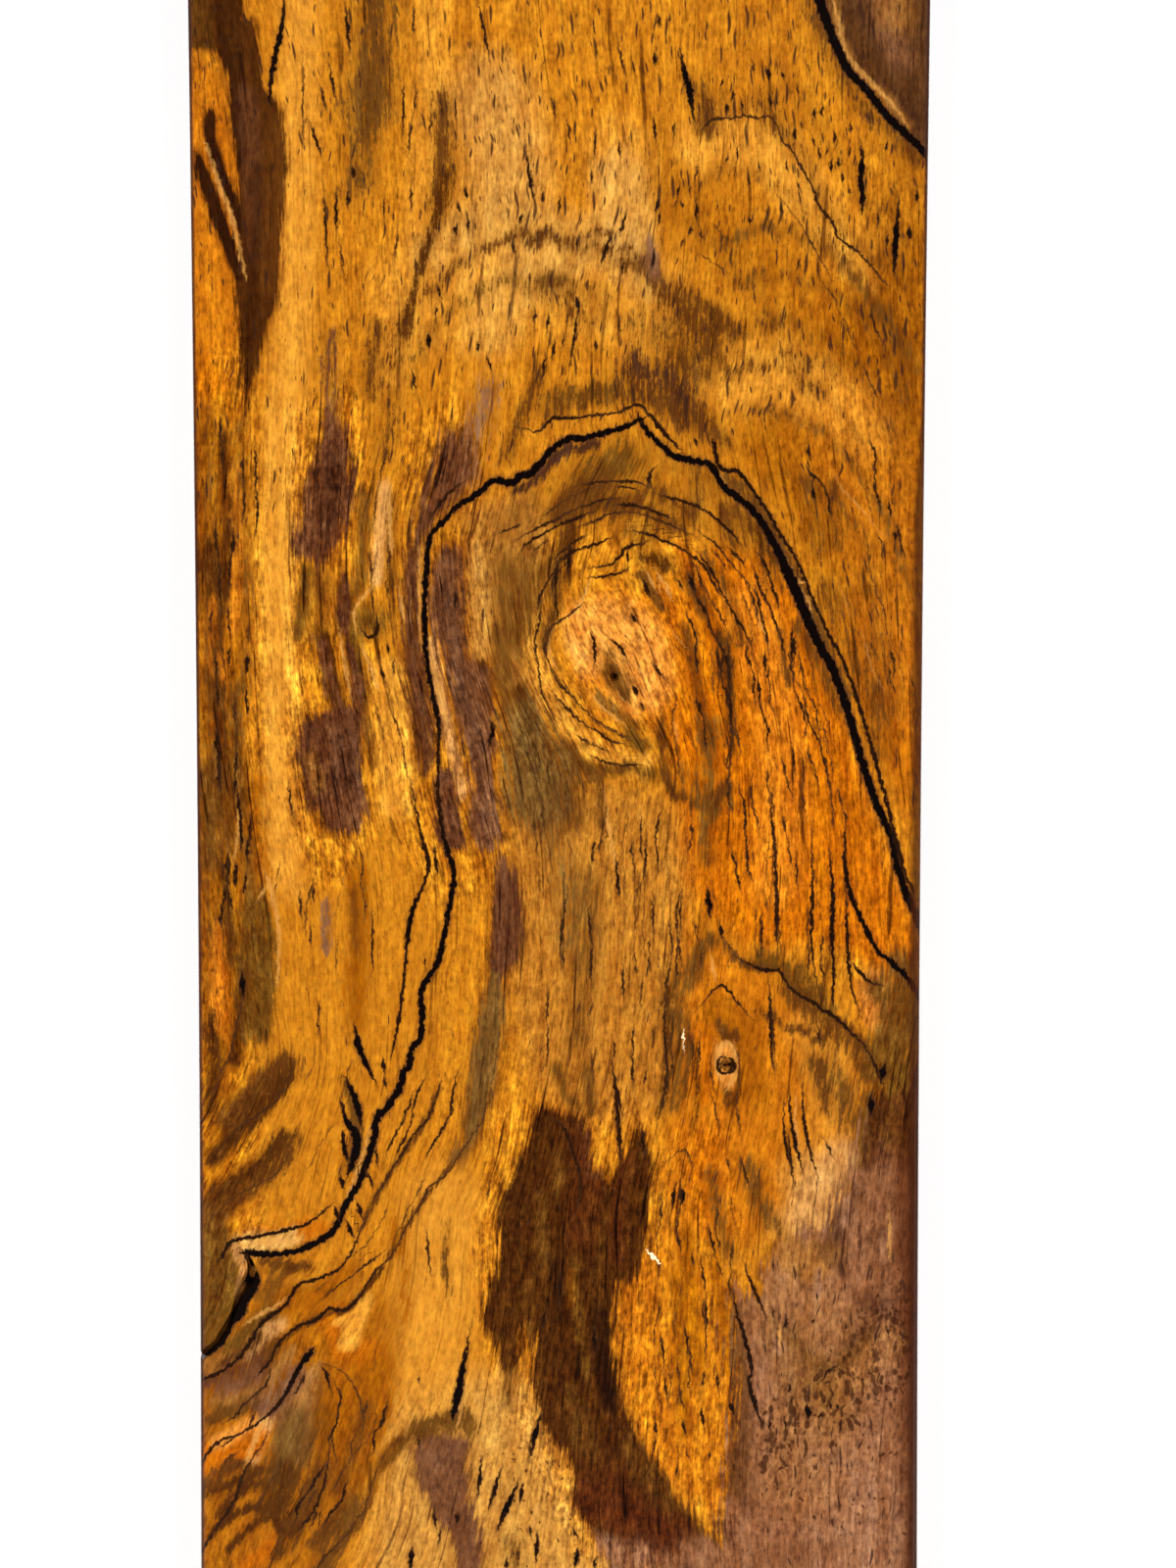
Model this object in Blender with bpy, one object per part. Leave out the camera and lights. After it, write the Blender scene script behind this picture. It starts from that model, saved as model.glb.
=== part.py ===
"""Cocobolo board: one sawn and planed piece of figured wood, lying on its back face.

The board is a single solid. Its long edges are planed very slightly hollow, all its
corners are eased, and its figured face has three natural openings in it: a shake that
runs out through one long edge, the hollow heart of a small knot, and a pit in a large knot.

The frame is in metres. The origin is at the centre of the back face, +X runs across the
grain, +Y runs along the board, and +Z points out of the figured face.
"""

import math

import bmesh
import bpy

MM = 0.001

# Sawn and planed sizes
BOARD_LENGTH = 305.0 * MM
BOARD_THICKNESS = 25.0 * MM
END_WIDTH = 116.2 * MM
EDGE_HOLLOW = 0.6 * MM
EASED_RADIUS = 0.8 * MM
EASED_STEPS = 3
EDGE_STEPS = 24

# The shake: its middle line from the long edge inwards, with the width of its mouth there
SHAKE_LINE = (
    (-59.5 * MM, -93.6 * MM, 1.2 * MM),
    (-57.4 * MM, -92.2 * MM, 1.2 * MM),
    (-55.1 * MM, -90.1 * MM, 0.9 * MM),
    (-53.8 * MM, -88.2 * MM, 1.3 * MM),
    (-52.4 * MM, -85.4 * MM, 0.9 * MM),
    (-51.2 * MM, -82.0 * MM, 1.4 * MM),
    (-50.0 * MM, -80.1 * MM, 2.2 * MM),
    (-49.3 * MM, -78.2 * MM, 1.5 * MM),
    (-49.9 * MM, -75.9 * MM, 0.5 * MM),
)
SHAKE_DEPTH = 2.4 * MM
SHAKE_FLOOR_SHARE = 0.25

# Openings in the knots: centre across and along the board, radius at the mouth, depth
KNOT_HEART = (26.8 * MM, -45.0 * MM, 1.1 * MM, 1.6 * MM)
KNOT_PIT = (8.8 * MM, 17.1 * MM, 0.8 * MM, 1.2 * MM)
PIT_SIDES = 16
PIT_FLOOR_SHARE = 0.45

# How far a cutter reaches above the figured face
CUTTER_LIFT = 1.0 * MM

WOOD_COLOUR = (0.35, 0.125, 0.02, 1.0)
WOOD_ROUGHNESS = 0.42


def clear_scene():
    """Remove every object that the scene starts with."""
    for old in list(bpy.data.objects):
        bpy.data.objects.remove(old, do_unlink=True)


def add_object(name, mesh):
    """Put a mesh in the scene as an object of the same name."""
    piece = bpy.data.objects.new(name, mesh)
    bpy.context.collection.objects.link(piece)
    return piece


def wood_material():
    """Oiled cocobolo, as one even colour."""
    material = bpy.data.materials.new("cocobolo")
    material.use_nodes = True
    shader = material.node_tree.nodes["Principled BSDF"]
    shader.inputs["Base Color"].default_value = WOOD_COLOUR
    shader.inputs["Roughness"].default_value = WOOD_ROUGHNESS
    shader.inputs["Metallic"].default_value = 0.0
    return material


def edge_offset(y):
    """Half the board's width at a place along it: the edges are hollow by a parabola."""
    from_middle = y / (BOARD_LENGTH / 2)
    return END_WIDTH / 2 - EDGE_HOLLOW * (1 - from_middle**2)


def board_outline():
    """The plan outline, anticlockwise, from the near right corner."""
    places = [
        BOARD_LENGTH * (step / EDGE_STEPS - 0.5) for step in range(EDGE_STEPS + 1)
    ]
    right = [(edge_offset(y), y) for y in places]
    left = [(-edge_offset(y), y) for y in reversed(places)]
    return right + left


def board_mesh():
    """The outline, filled and drawn up by the thickness, with every sharp corner eased."""
    build = bmesh.new()
    low = [build.verts.new((x, y, 0.0)) for x, y in board_outline()]
    high = [build.verts.new((x, y, BOARD_THICKNESS)) for x, y in board_outline()]
    build.faces.new(reversed(low))
    build.faces.new(high)
    count = len(low)
    for index in range(count):
        after = (index + 1) % count
        build.faces.new((low[index], low[after], high[after], high[index]))
    build.normal_update()
    corners = [
        edge for edge in build.edges if edge.calc_face_angle() > math.radians(45)
    ]
    bmesh.ops.bevel(
        build,
        geom=corners,
        offset=EASED_RADIUS,
        segments=EASED_STEPS,
        profile=0.5,
        affect="EDGES",
    )
    bmesh.ops.recalc_face_normals(build, faces=build.faces)
    mesh = bpy.data.meshes.new("board")
    build.to_mesh(mesh)
    build.free()
    return mesh


def across(before, after):
    """The unit direction across a line that runs from one point to another."""
    run_x = after[0] - before[0]
    run_y = after[1] - before[1]
    length = math.hypot(run_x, run_y)
    return -run_y / length, run_x / length


def shake_mesh():
    """A long wedge along the shake, narrower at its floor than at its mouth."""
    build = bmesh.new()
    top = BOARD_THICKNESS + CUTTER_LIFT
    floor = BOARD_THICKNESS - SHAKE_DEPTH
    spread = 1 + (1 - SHAKE_FLOOR_SHARE) * CUTTER_LIFT / SHAKE_DEPTH
    sections = []
    last = len(SHAKE_LINE) - 1
    for index, (x, y, width) in enumerate(SHAKE_LINE):
        side_x, side_y = across(
            SHAKE_LINE[max(index - 1, 0)], SHAKE_LINE[min(index + 1, last)]
        )
        half_top = width / 2 * spread
        half_floor = width / 2 * SHAKE_FLOOR_SHARE
        corners = (
            (half_top, top),
            (-half_top, top),
            (-half_floor, floor),
            (half_floor, floor),
        )
        sections.append(
            [build.verts.new((x + side_x * s, y + side_y * s, z)) for s, z in corners]
        )
    for first, second in zip(sections, sections[1:]):
        for index in range(4):
            after = (index + 1) % 4
            build.faces.new((first[index], first[after], second[after], second[index]))
    build.faces.new(sections[0])
    build.faces.new(reversed(sections[-1]))
    bmesh.ops.recalc_face_normals(build, faces=build.faces)
    mesh = bpy.data.meshes.new("shake_cutter")
    build.to_mesh(mesh)
    build.free()
    return mesh


def pit_mesh(name, radius, depth):
    """A round plug that narrows downwards, its middle at the height of the face."""
    build = bmesh.new()
    slope = (radius - radius * PIT_FLOOR_SHARE) / depth
    bmesh.ops.create_cone(
        build,
        cap_ends=True,
        segments=PIT_SIDES,
        radius1=radius * PIT_FLOOR_SHARE,
        radius2=radius + slope * CUTTER_LIFT,
        depth=depth + CUTTER_LIFT,
    )
    bmesh.ops.recalc_face_normals(build, faces=build.faces)
    mesh = bpy.data.meshes.new(name)
    build.to_mesh(mesh)
    build.free()
    return mesh


def cut(board, cutter):
    """Take a cutter's shape out of the board, and hide the cutter."""
    cutter.hide_render = True
    cutter.display_type = "WIRE"
    step = board.modifiers.new(cutter.name, "BOOLEAN")
    step.operation = "DIFFERENCE"
    step.solver = "EXACT"
    step.object = cutter


def make_board():
    """The whole board, with its three natural openings."""
    board = add_object("board", board_mesh())
    board.data.materials.append(wood_material())
    cut(board, add_object("shake_cutter", shake_mesh()))
    for name, pit in (("knot_heart_cutter", KNOT_HEART), ("knot_pit_cutter", KNOT_PIT)):
        x, y, radius, depth = pit
        cutter = add_object(name, pit_mesh(name, radius, depth))
        cutter.location = (x, y, BOARD_THICKNESS + (CUTTER_LIFT - depth) / 2)
        cut(board, cutter)


clear_scene()
make_board()
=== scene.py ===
import math

import bmesh
import bpy
import numpy as np
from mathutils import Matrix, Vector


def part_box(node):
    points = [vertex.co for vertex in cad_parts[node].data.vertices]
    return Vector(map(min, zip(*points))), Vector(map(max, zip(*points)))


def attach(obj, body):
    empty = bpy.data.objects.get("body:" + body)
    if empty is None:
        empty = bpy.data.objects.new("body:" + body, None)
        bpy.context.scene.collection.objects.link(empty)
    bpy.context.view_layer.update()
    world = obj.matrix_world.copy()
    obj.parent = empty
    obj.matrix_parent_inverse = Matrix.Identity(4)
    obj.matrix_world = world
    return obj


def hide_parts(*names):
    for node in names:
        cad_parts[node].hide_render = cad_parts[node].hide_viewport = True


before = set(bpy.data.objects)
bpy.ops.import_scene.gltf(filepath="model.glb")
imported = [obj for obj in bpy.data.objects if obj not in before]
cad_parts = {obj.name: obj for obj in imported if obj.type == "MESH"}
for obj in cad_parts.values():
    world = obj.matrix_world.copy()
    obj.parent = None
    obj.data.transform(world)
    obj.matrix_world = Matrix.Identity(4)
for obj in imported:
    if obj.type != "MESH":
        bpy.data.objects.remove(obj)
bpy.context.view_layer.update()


# The view: the board lies on its back face, and the camera looks down on its figured face
# from 600 mm, leaning a little so that the far end of the board is nearer. Places that were
# read off the photograph are in its pixels, as x and y in turn.
MM = 0.001
FACE_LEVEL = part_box("board")[1][2]
EYE_DISTANCE = 600 * MM
EYE_LEAN = math.radians(5.14)
PICTURE_TALL = 1600
PICTURE_LENS = 3859.8
PICTURE_MIDDLE_X = 570.5
PICTURE_MIDDLE_Y = 800
PICTURE_WIDE = 1200
SENSOR = 36.0


def add_object(name, data):
    """Put a mesh, a camera or a light in the scene."""
    added = bpy.data.objects.new(name, data)
    bpy.context.collection.objects.link(added)
    return added


eye = bpy.data.cameras.new("eye")
eye.sensor_width = SENSOR
eye.lens = PICTURE_LENS / PICTURE_TALL * SENSOR
eye.shift_x = (PICTURE_WIDE / 2 - PICTURE_MIDDLE_X) / PICTURE_TALL
eye_object = add_object("eye", eye)
eye_object.location.y = EYE_DISTANCE * math.sin(EYE_LEAN)
eye_object.location.z = FACE_LEVEL + EYE_DISTANCE * math.cos(EYE_LEAN)
eye_object.rotation_euler = (-EYE_LEAN, 0, 0)
bpy.context.scene.camera = eye_object


def from_photo(px, py):
    """The place on the figured face, in millimetres, that the picture shows at a pixel."""
    rise = (PICTURE_MIDDLE_Y - py) / PICTURE_LENS
    aside = (px - PICTURE_MIDDLE_X) / PICTURE_LENS
    distance = EYE_DISTANCE / MM
    y = rise * distance / (math.cos(EYE_LEAN) + rise * math.sin(EYE_LEAN))
    return aside * (distance - y * math.sin(EYE_LEAN)), y


# The sawn board: one blank of cocobolo heartwood, 305 mm long and 25 mm thick, planed on all
# faces, its long edges a hair hollow and every corner eased by sandpaper. The figured face
# has a fine net of vertices, because the figure of the wood is carried on them.
BOARD_LENGTH = 305.0
BOARD_THICKNESS = 25.0
END_WIDTH = 116.2
EDGE_HOLLOW = 0.6
EASED_RADIUS = 0.8
CELLS_ACROSS = 49
CELLS_ALONG = 127
CELLS_DEEP = 9
FINE_STEPS = 4
FINE_FROM = -128.5
FINE_TO = 124.5


def cell_lines(low, high, count):
    """Places of the cell lines along one side: even, with two narrow ones on each eased corner."""
    inner = [
        low + EASED_RADIUS + (high - low - 2 * EASED_RADIUS) * step / count
        for step in range(count + 1)
    ]
    return [low, low + EASED_RADIUS / 2] + inner + [high - EASED_RADIUS / 2, high]


def edge_offset(y):
    """Half the board's width at a place along it."""
    return END_WIDTH / 2 - EDGE_HOLLOW * (1 - (y / (BOARD_LENGTH / 2)) ** 2)


def blank_mesh():
    """A closed box of square cells, with the figured face in finer ones."""
    lines = (
        cell_lines(-END_WIDTH / 2, END_WIDTH / 2, CELLS_ACROSS),
        cell_lines(-BOARD_LENGTH / 2, BOARD_LENGTH / 2, CELLS_ALONG),
        cell_lines(0, BOARD_THICKNESS, CELLS_DEEP),
    )
    last = [len(line) - 1 for line in lines]
    build = bmesh.new()
    corners = {}

    def corner(place):
        if place not in corners:
            corners[place] = build.verts.new([lines[axis][place[axis]] for axis in range(3)])
        return corners[place]

    fine_faces = []
    for axis in range(3):
        one, two = (axis + 1) % 3, (axis + 2) % 3
        for side in (0, last[axis]):
            for i in range(last[one]):
                for j in range(last[two]):
                    ring = []
                    for a, b in ((i, j), (i + 1, j), (i + 1, j + 1), (i, j + 1)):
                        place = [0, 0, 0]
                        place[axis], place[one], place[two] = side, a, b
                        ring.append(corner(tuple(place)))
                    if side == 0:
                        ring.reverse()
                    face = build.faces.new(ring)
                    if axis == 2 and side == last[2]:
                        middle = face.calc_center_median()
                        off_edge = abs(middle.x) < END_WIDTH / 2 - EASED_RADIUS
                        if off_edge and FINE_FROM < middle.y < FINE_TO:
                            fine_faces.append(face)
    edges = {edge for face in fine_faces for edge in face.edges}
    bmesh.ops.subdivide_edges(build, edges=list(edges), cuts=FINE_STEPS - 1, use_grid_fill=True)
    half = (END_WIDTH / 2, BOARD_LENGTH / 2, BOARD_THICKNESS / 2)
    for vert in build.verts:
        place = [vert.co.x, vert.co.y, vert.co.z - half[2]]
        core = [
            max(-h + EASED_RADIUS, min(h - EASED_RADIUS, p)) for p, h in zip(place, half)
        ]
        off = [p - c for p, c in zip(place, core)]
        length = math.hypot(*off)
        if length > 0:
            place = [c + o / length * EASED_RADIUS for c, o in zip(core, off)]
        place[0] *= edge_offset(place[1]) / half[0]
        vert.co = (place[0] * MM, place[1] * MM, (place[2] + half[2]) * MM)
    bmesh.ops.recalc_face_normals(build, faces=build.faces)
    mesh = bpy.data.meshes.new("cocobolo_board")
    build.to_mesh(mesh)
    build.free()
    return mesh


board = add_object("cocobolo_board", blank_mesh())


# The natural openings of the figured face: a shake that runs out through the left edge near
# the near end, the hollow heart of the small knot, and the pit in the large knot. They are
# cut out of the blank, as deep and wide as in the solid.
SHAKE_LINE = (
    # across, along, width of the mouth
    (-59.5, -93.6, 1.2),
    (-57.4, -92.2, 1.2),
    (-55.1, -90.1, 0.9),
    (-53.8, -88.2, 1.3),
    (-52.4, -85.4, 0.9),
    (-51.2, -82.0, 1.4),
    (-50.0, -80.1, 2.2),
    (-49.3, -78.2, 1.5),
    (-49.9, -75.9, 0.5),
)
SHAKE_DEPTH = 2.4
SHAKE_FLOOR_SHARE = 0.25
# across, along, radius of the mouth, depth
KNOT_HEART = (26.8, -45.0, 1.1, 1.6)
KNOT_PIT = (8.8, 17.1, 0.8, 1.2)
PIT_SIDES = 40
PIT_FLOOR_SHARE = 0.45
CUTTER_LIFT = 1.0
FACE_SLACK = 0.05


def shake_cutter():
    """A long wedge along the shake, narrower at its floor than at its mouth."""
    build = bmesh.new()
    top = BOARD_THICKNESS + CUTTER_LIFT
    floor = BOARD_THICKNESS - SHAKE_DEPTH
    spread = 1 + (1 - SHAKE_FLOOR_SHARE) * CUTTER_LIFT / SHAKE_DEPTH
    sections = []
    last = len(SHAKE_LINE) - 1
    for index, (x, y, width) in enumerate(SHAKE_LINE):
        before = SHAKE_LINE[max(index - 1, 0)]
        after = SHAKE_LINE[min(index + 1, last)]
        run = (after[0] - before[0], after[1] - before[1])
        length = math.hypot(*run)
        side = (-run[1] / length, run[0] / length)
        half_top = width / 2 * spread
        half_floor = width / 2 * SHAKE_FLOOR_SHARE
        ring = ((half_top, top), (-half_top, top), (-half_floor, floor), (half_floor, floor))
        places = [((x + side[0] * s) * MM, (y + side[1] * s) * MM, z * MM) for s, z in ring]
        sections.append([build.verts.new(place) for place in places])
    for first, second in zip(sections, sections[1:]):
        for index in range(4):
            after = (index + 1) % 4
            build.faces.new((first[index], first[after], second[after], second[index]))
    build.faces.new(sections[0])
    build.faces.new(reversed(sections[-1]))
    return build


def pit_cutter(x, y, radius, depth):
    """A round plug that narrows downwards."""
    build = bmesh.new()
    slope = (radius - radius * PIT_FLOOR_SHARE) / depth
    bmesh.ops.create_cone(
        build,
        cap_ends=True,
        segments=PIT_SIDES,
        radius1=radius * PIT_FLOOR_SHARE * MM,
        radius2=(radius + slope * CUTTER_LIFT) * MM,
        depth=(depth + CUTTER_LIFT) * MM,
    )
    level = BOARD_THICKNESS + (CUTTER_LIFT - depth) / 2
    for vert in build.verts:
        vert.co += type(vert.co)((x * MM, y * MM, level * MM))
    return build


for build in (shake_cutter(), pit_cutter(*KNOT_HEART), pit_cutter(*KNOT_PIT)):
    bmesh.ops.recalc_face_normals(build, faces=build.faces)
    cutter_mesh = bpy.data.meshes.new("cutter")
    build.to_mesh(cutter_mesh)
    build.free()
    cutter = add_object("cutter", cutter_mesh)
    opening = board.modifiers.new("opening", "BOOLEAN")
    opening.operation = "DIFFERENCE"
    opening.solver = "EXACT"
    opening.object = cutter
    ready = board.evaluated_get(bpy.context.evaluated_depsgraph_get())
    cut_mesh = bpy.data.meshes.new_from_object(ready)
    board.modifiers.clear()
    board.data = cut_mesh
    bpy.data.objects.remove(cutter, do_unlink=True)
wood = board.data
wood.name = "cocobolo_board"
spots = np.empty(len(wood.vertices) * 3, dtype=np.float32)
wood.vertices.foreach_get("co", spots)
spots = spots.reshape(-1, 3) / MM
depth_below = BOARD_THICKNESS - spots[:, 2]
in_fine_stretch = (spots[:, 1] > FINE_FROM - 1) & (spots[:, 1] < FINE_TO + 1)
on_fine_face = (depth_below < FACE_SLACK) & in_fine_stretch


# The figure runs through the board at a slant: a place below the figured face shows what
# the face shows a little aside of it, so the edges and ends carry the same lines down.
DRIFT_ACROSS = 0.35
DRIFT_ALONG = 0.9
figure = np.column_stack(
    (
        spots[:, 0] - np.sign(spots[:, 0]) * DRIFT_ACROSS * depth_below,
        spots[:, 1] + DRIFT_ALONG * depth_below,
    )
)


def smooth(points, steps=3):
    """A curve through places read off the photograph, in board millimetres."""
    places = np.array([from_photo(x, y) for x, y in zip(points[::2], points[1::2])])
    before = 2 * places[0] - places[1]
    after = 2 * places[-1] - places[-2]
    knots = np.vstack((before, places, after))
    curve = []
    for index in range(1, len(knots) - 2):
        a, b, c, d = knots[index - 1 : index + 3]
        for t in np.arange(steps) / steps:
            square = (2 * a - 5 * b + 4 * c - d) * t**2
            cube = (3 * b - a - 3 * c + d) * t**3
            curve.append(0.5 * (2 * b + (c - a) * t + square + cube))
    curve.append(places[-1])
    return np.array(curve, dtype=np.float32)


def measure(where, line, reach):
    """For places within reach of a line: which, how far off (left is positive), how far along."""
    low = line.min(axis=0) - reach
    high = line.max(axis=0) + reach
    near = np.flatnonzero(((where >= low) & (where <= high)).all(axis=1))
    here = where[near]
    best = np.full(len(near), 1e6, dtype=np.float32)
    side = np.zeros(len(near), dtype=np.float32)
    share = np.zeros(len(near), dtype=np.float32)
    runs = np.linalg.norm(np.diff(line, axis=0), axis=1)
    total = runs.sum()
    gone = 0.0
    for (start, end), run in zip(zip(line[:-1], line[1:]), runs):
        if run < 1e-6:
            continue
        way = (end - start) / run
        box = np.flatnonzero(
            (np.abs(here[:, 0] - (start[0] + end[0]) / 2) < run / 2 + reach)
            & (np.abs(here[:, 1] - (start[1] + end[1]) / 2) < run / 2 + reach)
        )
        if len(box):
            off = here[box] - start
            along = np.clip(off @ way, 0, run)
            gap = np.hypot(off[:, 0] - along * way[0], off[:, 1] - along * way[1])
            turn = way[0] * off[:, 1] - way[1] * off[:, 0]
            closer = gap < best[box]
            picked = box[closer]
            best[picked] = gap[closer]
            side[picked] = np.where(turn[closer] >= 0, 1, -1)
            share[picked] = (gone + along[closer]) / total
        gone += run
    kept = best < reach
    return near[kept], best[kept] * side[kept], share[kept]


def inside(where, ring):
    """Which places lie inside a closed ring."""
    found = np.zeros(len(where), dtype=bool)
    for (x0, y0), (x1, y1) in zip(ring, np.roll(ring, -1, axis=0)):
        if y0 == y1:
            continue
        crosses = (where[:, 1] > min(y0, y1)) & (where[:, 1] <= max(y0, y1))
        reached = x0 + (where[:, 1] - y0) * (x1 - x0) / (y1 - y0)
        found ^= crosses & (where[:, 0] < reached)
    return found


def ring_gap(where, points, reach):
    """How far places are outside a closed outline (inside is negative), up to a reach."""
    ring = smooth(points + points[:2])
    gap = np.full(len(where), reach, dtype=np.float32)
    near, off, _ = measure(where, ring, reach)
    gap[near] = np.abs(off)
    return np.where(inside(where, ring), -gap, gap)


def ease(low, high, value):
    """A smooth step from 0 at low to 1 at high."""
    t = np.clip((value - low) / (high - low), 0, 1)
    return t * t * (3 - 2 * t)


def wander(u, v, seed):
    """An even random field between -1 and 1 that changes over one unit of u and v."""
    side = 256
    dice = np.random.default_rng(seed).uniform(-1, 1, (side, side)).astype(np.float32)
    i, j = np.floor(u).astype(int), np.floor(v).astype(int)
    fu, fv = ease(0, 1, u - i), ease(0, 1, v - j)
    i, j, after_i, after_j = i % side, j % side, (i + 1) % side, (j + 1) % side
    low = dice[i, j] * (1 - fu) + dice[after_i, j] * fu
    high = dice[i, after_j] * (1 - fu) + dice[after_i, after_j] * fu
    return low * (1 - fv) + high * fv


# The run of the fibres: straight up the board, but bent round the knots and swept aside
# near the shake. The lines below are fibres that can be followed by eye, and the angle between
# them is worked out on a lattice that reaches past the board on all sides.
FIBRE_GUIDES = (
    # reach in mm, places
    (7, [340, 1255, 360, 1218, 376, 1175, 398, 1122, 422, 1062, 440, 1000, 455, 955, 462, 885, 447, 811,
     448, 750, 435, 670, 434, 600, 440, 545, 455, 520]),
    (7, [938, 939, 910, 855, 888, 805, 872, 750, 846, 672, 810, 597, 782, 542, 755, 505]),
    (8, [212, 1400, 262, 1358, 300, 1316, 343, 1297, 372, 1245, 390, 1200]),
    (8, [265, 1400, 305, 1353, 355, 1335, 395, 1287, 435, 1215, 478, 1180, 500, 1120]),
    (8, [208, 1487, 255, 1453, 300, 1410, 330, 1370]),
    (8, [325, 1598, 368, 1545, 388, 1492, 420, 1440, 450, 1380]),
    (7, [212, 1575, 245, 1515, 275, 1450]),
    (7, [215, 1180, 260, 1140, 300, 1090, 310, 1000]),
    (7, [250, 300, 232, 245, 212, 185, 203, 145]),
    (6, [286, 300, 291, 200, 285, 112, 262, 35]),
    (8, [510, 1510, 480, 1600]),
    (9, [560, 1300, 600, 1450, 680, 1600]),
    (8, [690, 1300, 720, 1400, 745, 1530]),
    (9, [600, 235, 560, 330, 520, 430]),
    (9, [880, 150, 905, 300, 930, 400]),
    (5, [562, 640, 556, 660, 566, 685, 588, 715, 612, 737, 636, 752]),
    (5, [565, 620, 566, 585, 578, 550, 600, 515, 640, 500]),
    (4, [577, 590, 600, 577, 625, 568, 650, 557]),
    (5, [650, 570, 668, 610, 690, 650, 700, 700]),
    (6, [690, 545, 712, 600, 728, 650, 745, 720]),
    (6, [600, 640, 640, 680, 665, 715]),
    (6, [740, 520, 765, 560, 785, 620]),
)
LATTICE_STEP = 1.0
LATTICE_ASIDE = 62
LATTICE_FROM = -158
LATTICE_TO = 182
STRAIGHT_PULL = 0.12


def level_field(slope_x, slope_y):
    """The field whose slopes come nearest to the given ones, by least squares."""
    pull = np.zeros_like(slope_x)
    step_x = (slope_x[1:, :] + slope_x[:-1, :]) / 2 * LATTICE_STEP
    step_y = (slope_y[:, 1:] + slope_y[:, :-1]) / 2 * LATTICE_STEP
    pull[1:, :] += step_x
    pull[:-1, :] -= step_x
    pull[:, 1:] += step_y
    pull[:, :-1] -= step_y
    mirrored = np.block([[pull, pull[:, ::-1]], [pull[::-1, :], pull[::-1, ::-1]]])
    parts = np.fft.fft2(mirrored)
    a, b = [2 - 2 * np.cos(2 * np.pi * np.arange(size) / size) for size in mirrored.shape]
    stiffness = a[:, None] + b[None, :]
    stiffness[0, 0] = 1
    parts = parts / stiffness
    parts[0, 0] = 0
    return np.fft.ifft2(parts).real[: pull.shape[0], : pull.shape[1]]


lattice_x = np.arange(-LATTICE_ASIDE, LATTICE_ASIDE + LATTICE_STEP, LATTICE_STEP)
lattice_y = np.arange(LATTICE_FROM, LATTICE_TO + LATTICE_STEP, LATTICE_STEP)
grid_x, grid_y = np.meshgrid(lattice_x, lattice_y, indexing="ij")
lattice = np.column_stack((grid_x.ravel(), grid_y.ravel())).astype(np.float32)
turn_cos = np.full(len(lattice), -STRAIGHT_PULL)
turn_sin = np.zeros(len(lattice))
for reach, points in FIBRE_GUIDES:
    line = smooth(points)
    near, off, share = measure(lattice, line, reach * 3)
    runs = np.diff(line, axis=0)
    angles = np.arctan2(runs[:, 1], runs[:, 0])
    lengths = np.linalg.norm(runs, axis=1)
    middles = (np.cumsum(lengths) - lengths / 2) / lengths.sum()
    weight = np.exp(-((off / reach) ** 2))
    turn_cos[near] += weight * np.interp(share, middles, np.cos(2 * angles))
    turn_sin[near] += weight * np.interp(share, middles, np.sin(2 * angles))
angle = 0.5 * np.arctan2(turn_sin, turn_cos).reshape(grid_x.shape)
angle = np.where(angle < 0, angle + np.pi, angle)
across_field = level_field(np.sin(angle), -np.cos(angle))
along_field = level_field(np.cos(angle), np.sin(angle))


def from_lattice(field, where):
    """A lattice field's value at each place, evened between the lattice points."""
    u = np.clip((where[:, 0] - lattice_x[0]) / LATTICE_STEP, 0, len(lattice_x) - 1.001)
    v = np.clip((where[:, 1] - lattice_y[0]) / LATTICE_STEP, 0, len(lattice_y) - 1.001)
    i, j = u.astype(int), v.astype(int)
    fu, fv = u - i, v - j
    low = field[i, j] * (1 - fu) + field[i + 1, j] * fu
    high = field[i, j + 1] * (1 - fu) + field[i + 1, j + 1] * fu
    return low * (1 - fv) + high * fv


fibre_across = from_lattice(across_field, figure)
fibre_along = from_lattice(along_field, figure)
fibre_angle = from_lattice(angle, figure)

# Colour edges in the wood feather out along the fibres, so paint is laid on at places that
# are shifted along them by a random length.
FEATHER = 1.4
FEATHER_WAVES = (
    # share, changes a millimetre across and along the fibres, seed
    (0.6, 0.5, 0.07, 11),
    (0.6, 1.7, 0.16, 12),
)
shift = FEATHER * sum(
    share * wander(fibre_across * often_across, fibre_along * often_along, seed)
    for share, often_across, often_along, seed in FEATHER_WAVES
)
feathered = figure + np.column_stack((np.cos(fibre_angle), np.sin(fibre_angle))) * shift[:, None]
feathered = feathered.astype(np.float32)


# The wood's colours, as the eye names them, in red, green and blue out of 255.
WOOD_COLOURS = {
    "gold": (212, 130, 28),
    "bright gold": (240, 160, 52),
    "pale gold": (232, 172, 86),
    "straw": (214, 150, 66),
    "tan": (178, 114, 46),
    "amber": (172, 94, 12),
    "deep amber": (140, 74, 8),
    "umber": (112, 68, 24),
    "faded umber": (126, 86, 38),
    "pale orange": (244, 156, 62),
    "soft purple": (124, 76, 46),
    "wenge": (98, 60, 32),
    "orange": (208, 108, 10),
    "bright orange": (240, 140, 34),
    "red orange": (176, 78, 8),
    "olive": (112, 70, 22),
    "brown": (104, 58, 20),
    "dark brown": (84, 44, 15),
    "black brown": (56, 27, 12),
    "black": (20, 10, 6),
    "purple": (106, 60, 34),
    "dark purple": (78, 44, 28),
    "grey purple": (140, 92, 60),
    "lavender": (156, 100, 64),
    "light lavender": (182, 126, 90),
    "maroon": (92, 42, 18),
    "pale tan": (222, 158, 88),
    "grey tan": (150, 108, 66),
}
LIGHT_GAIN = 1.9
OWN_SHINE = 0.003
LEAST_COLOUR = 0.0008


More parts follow.
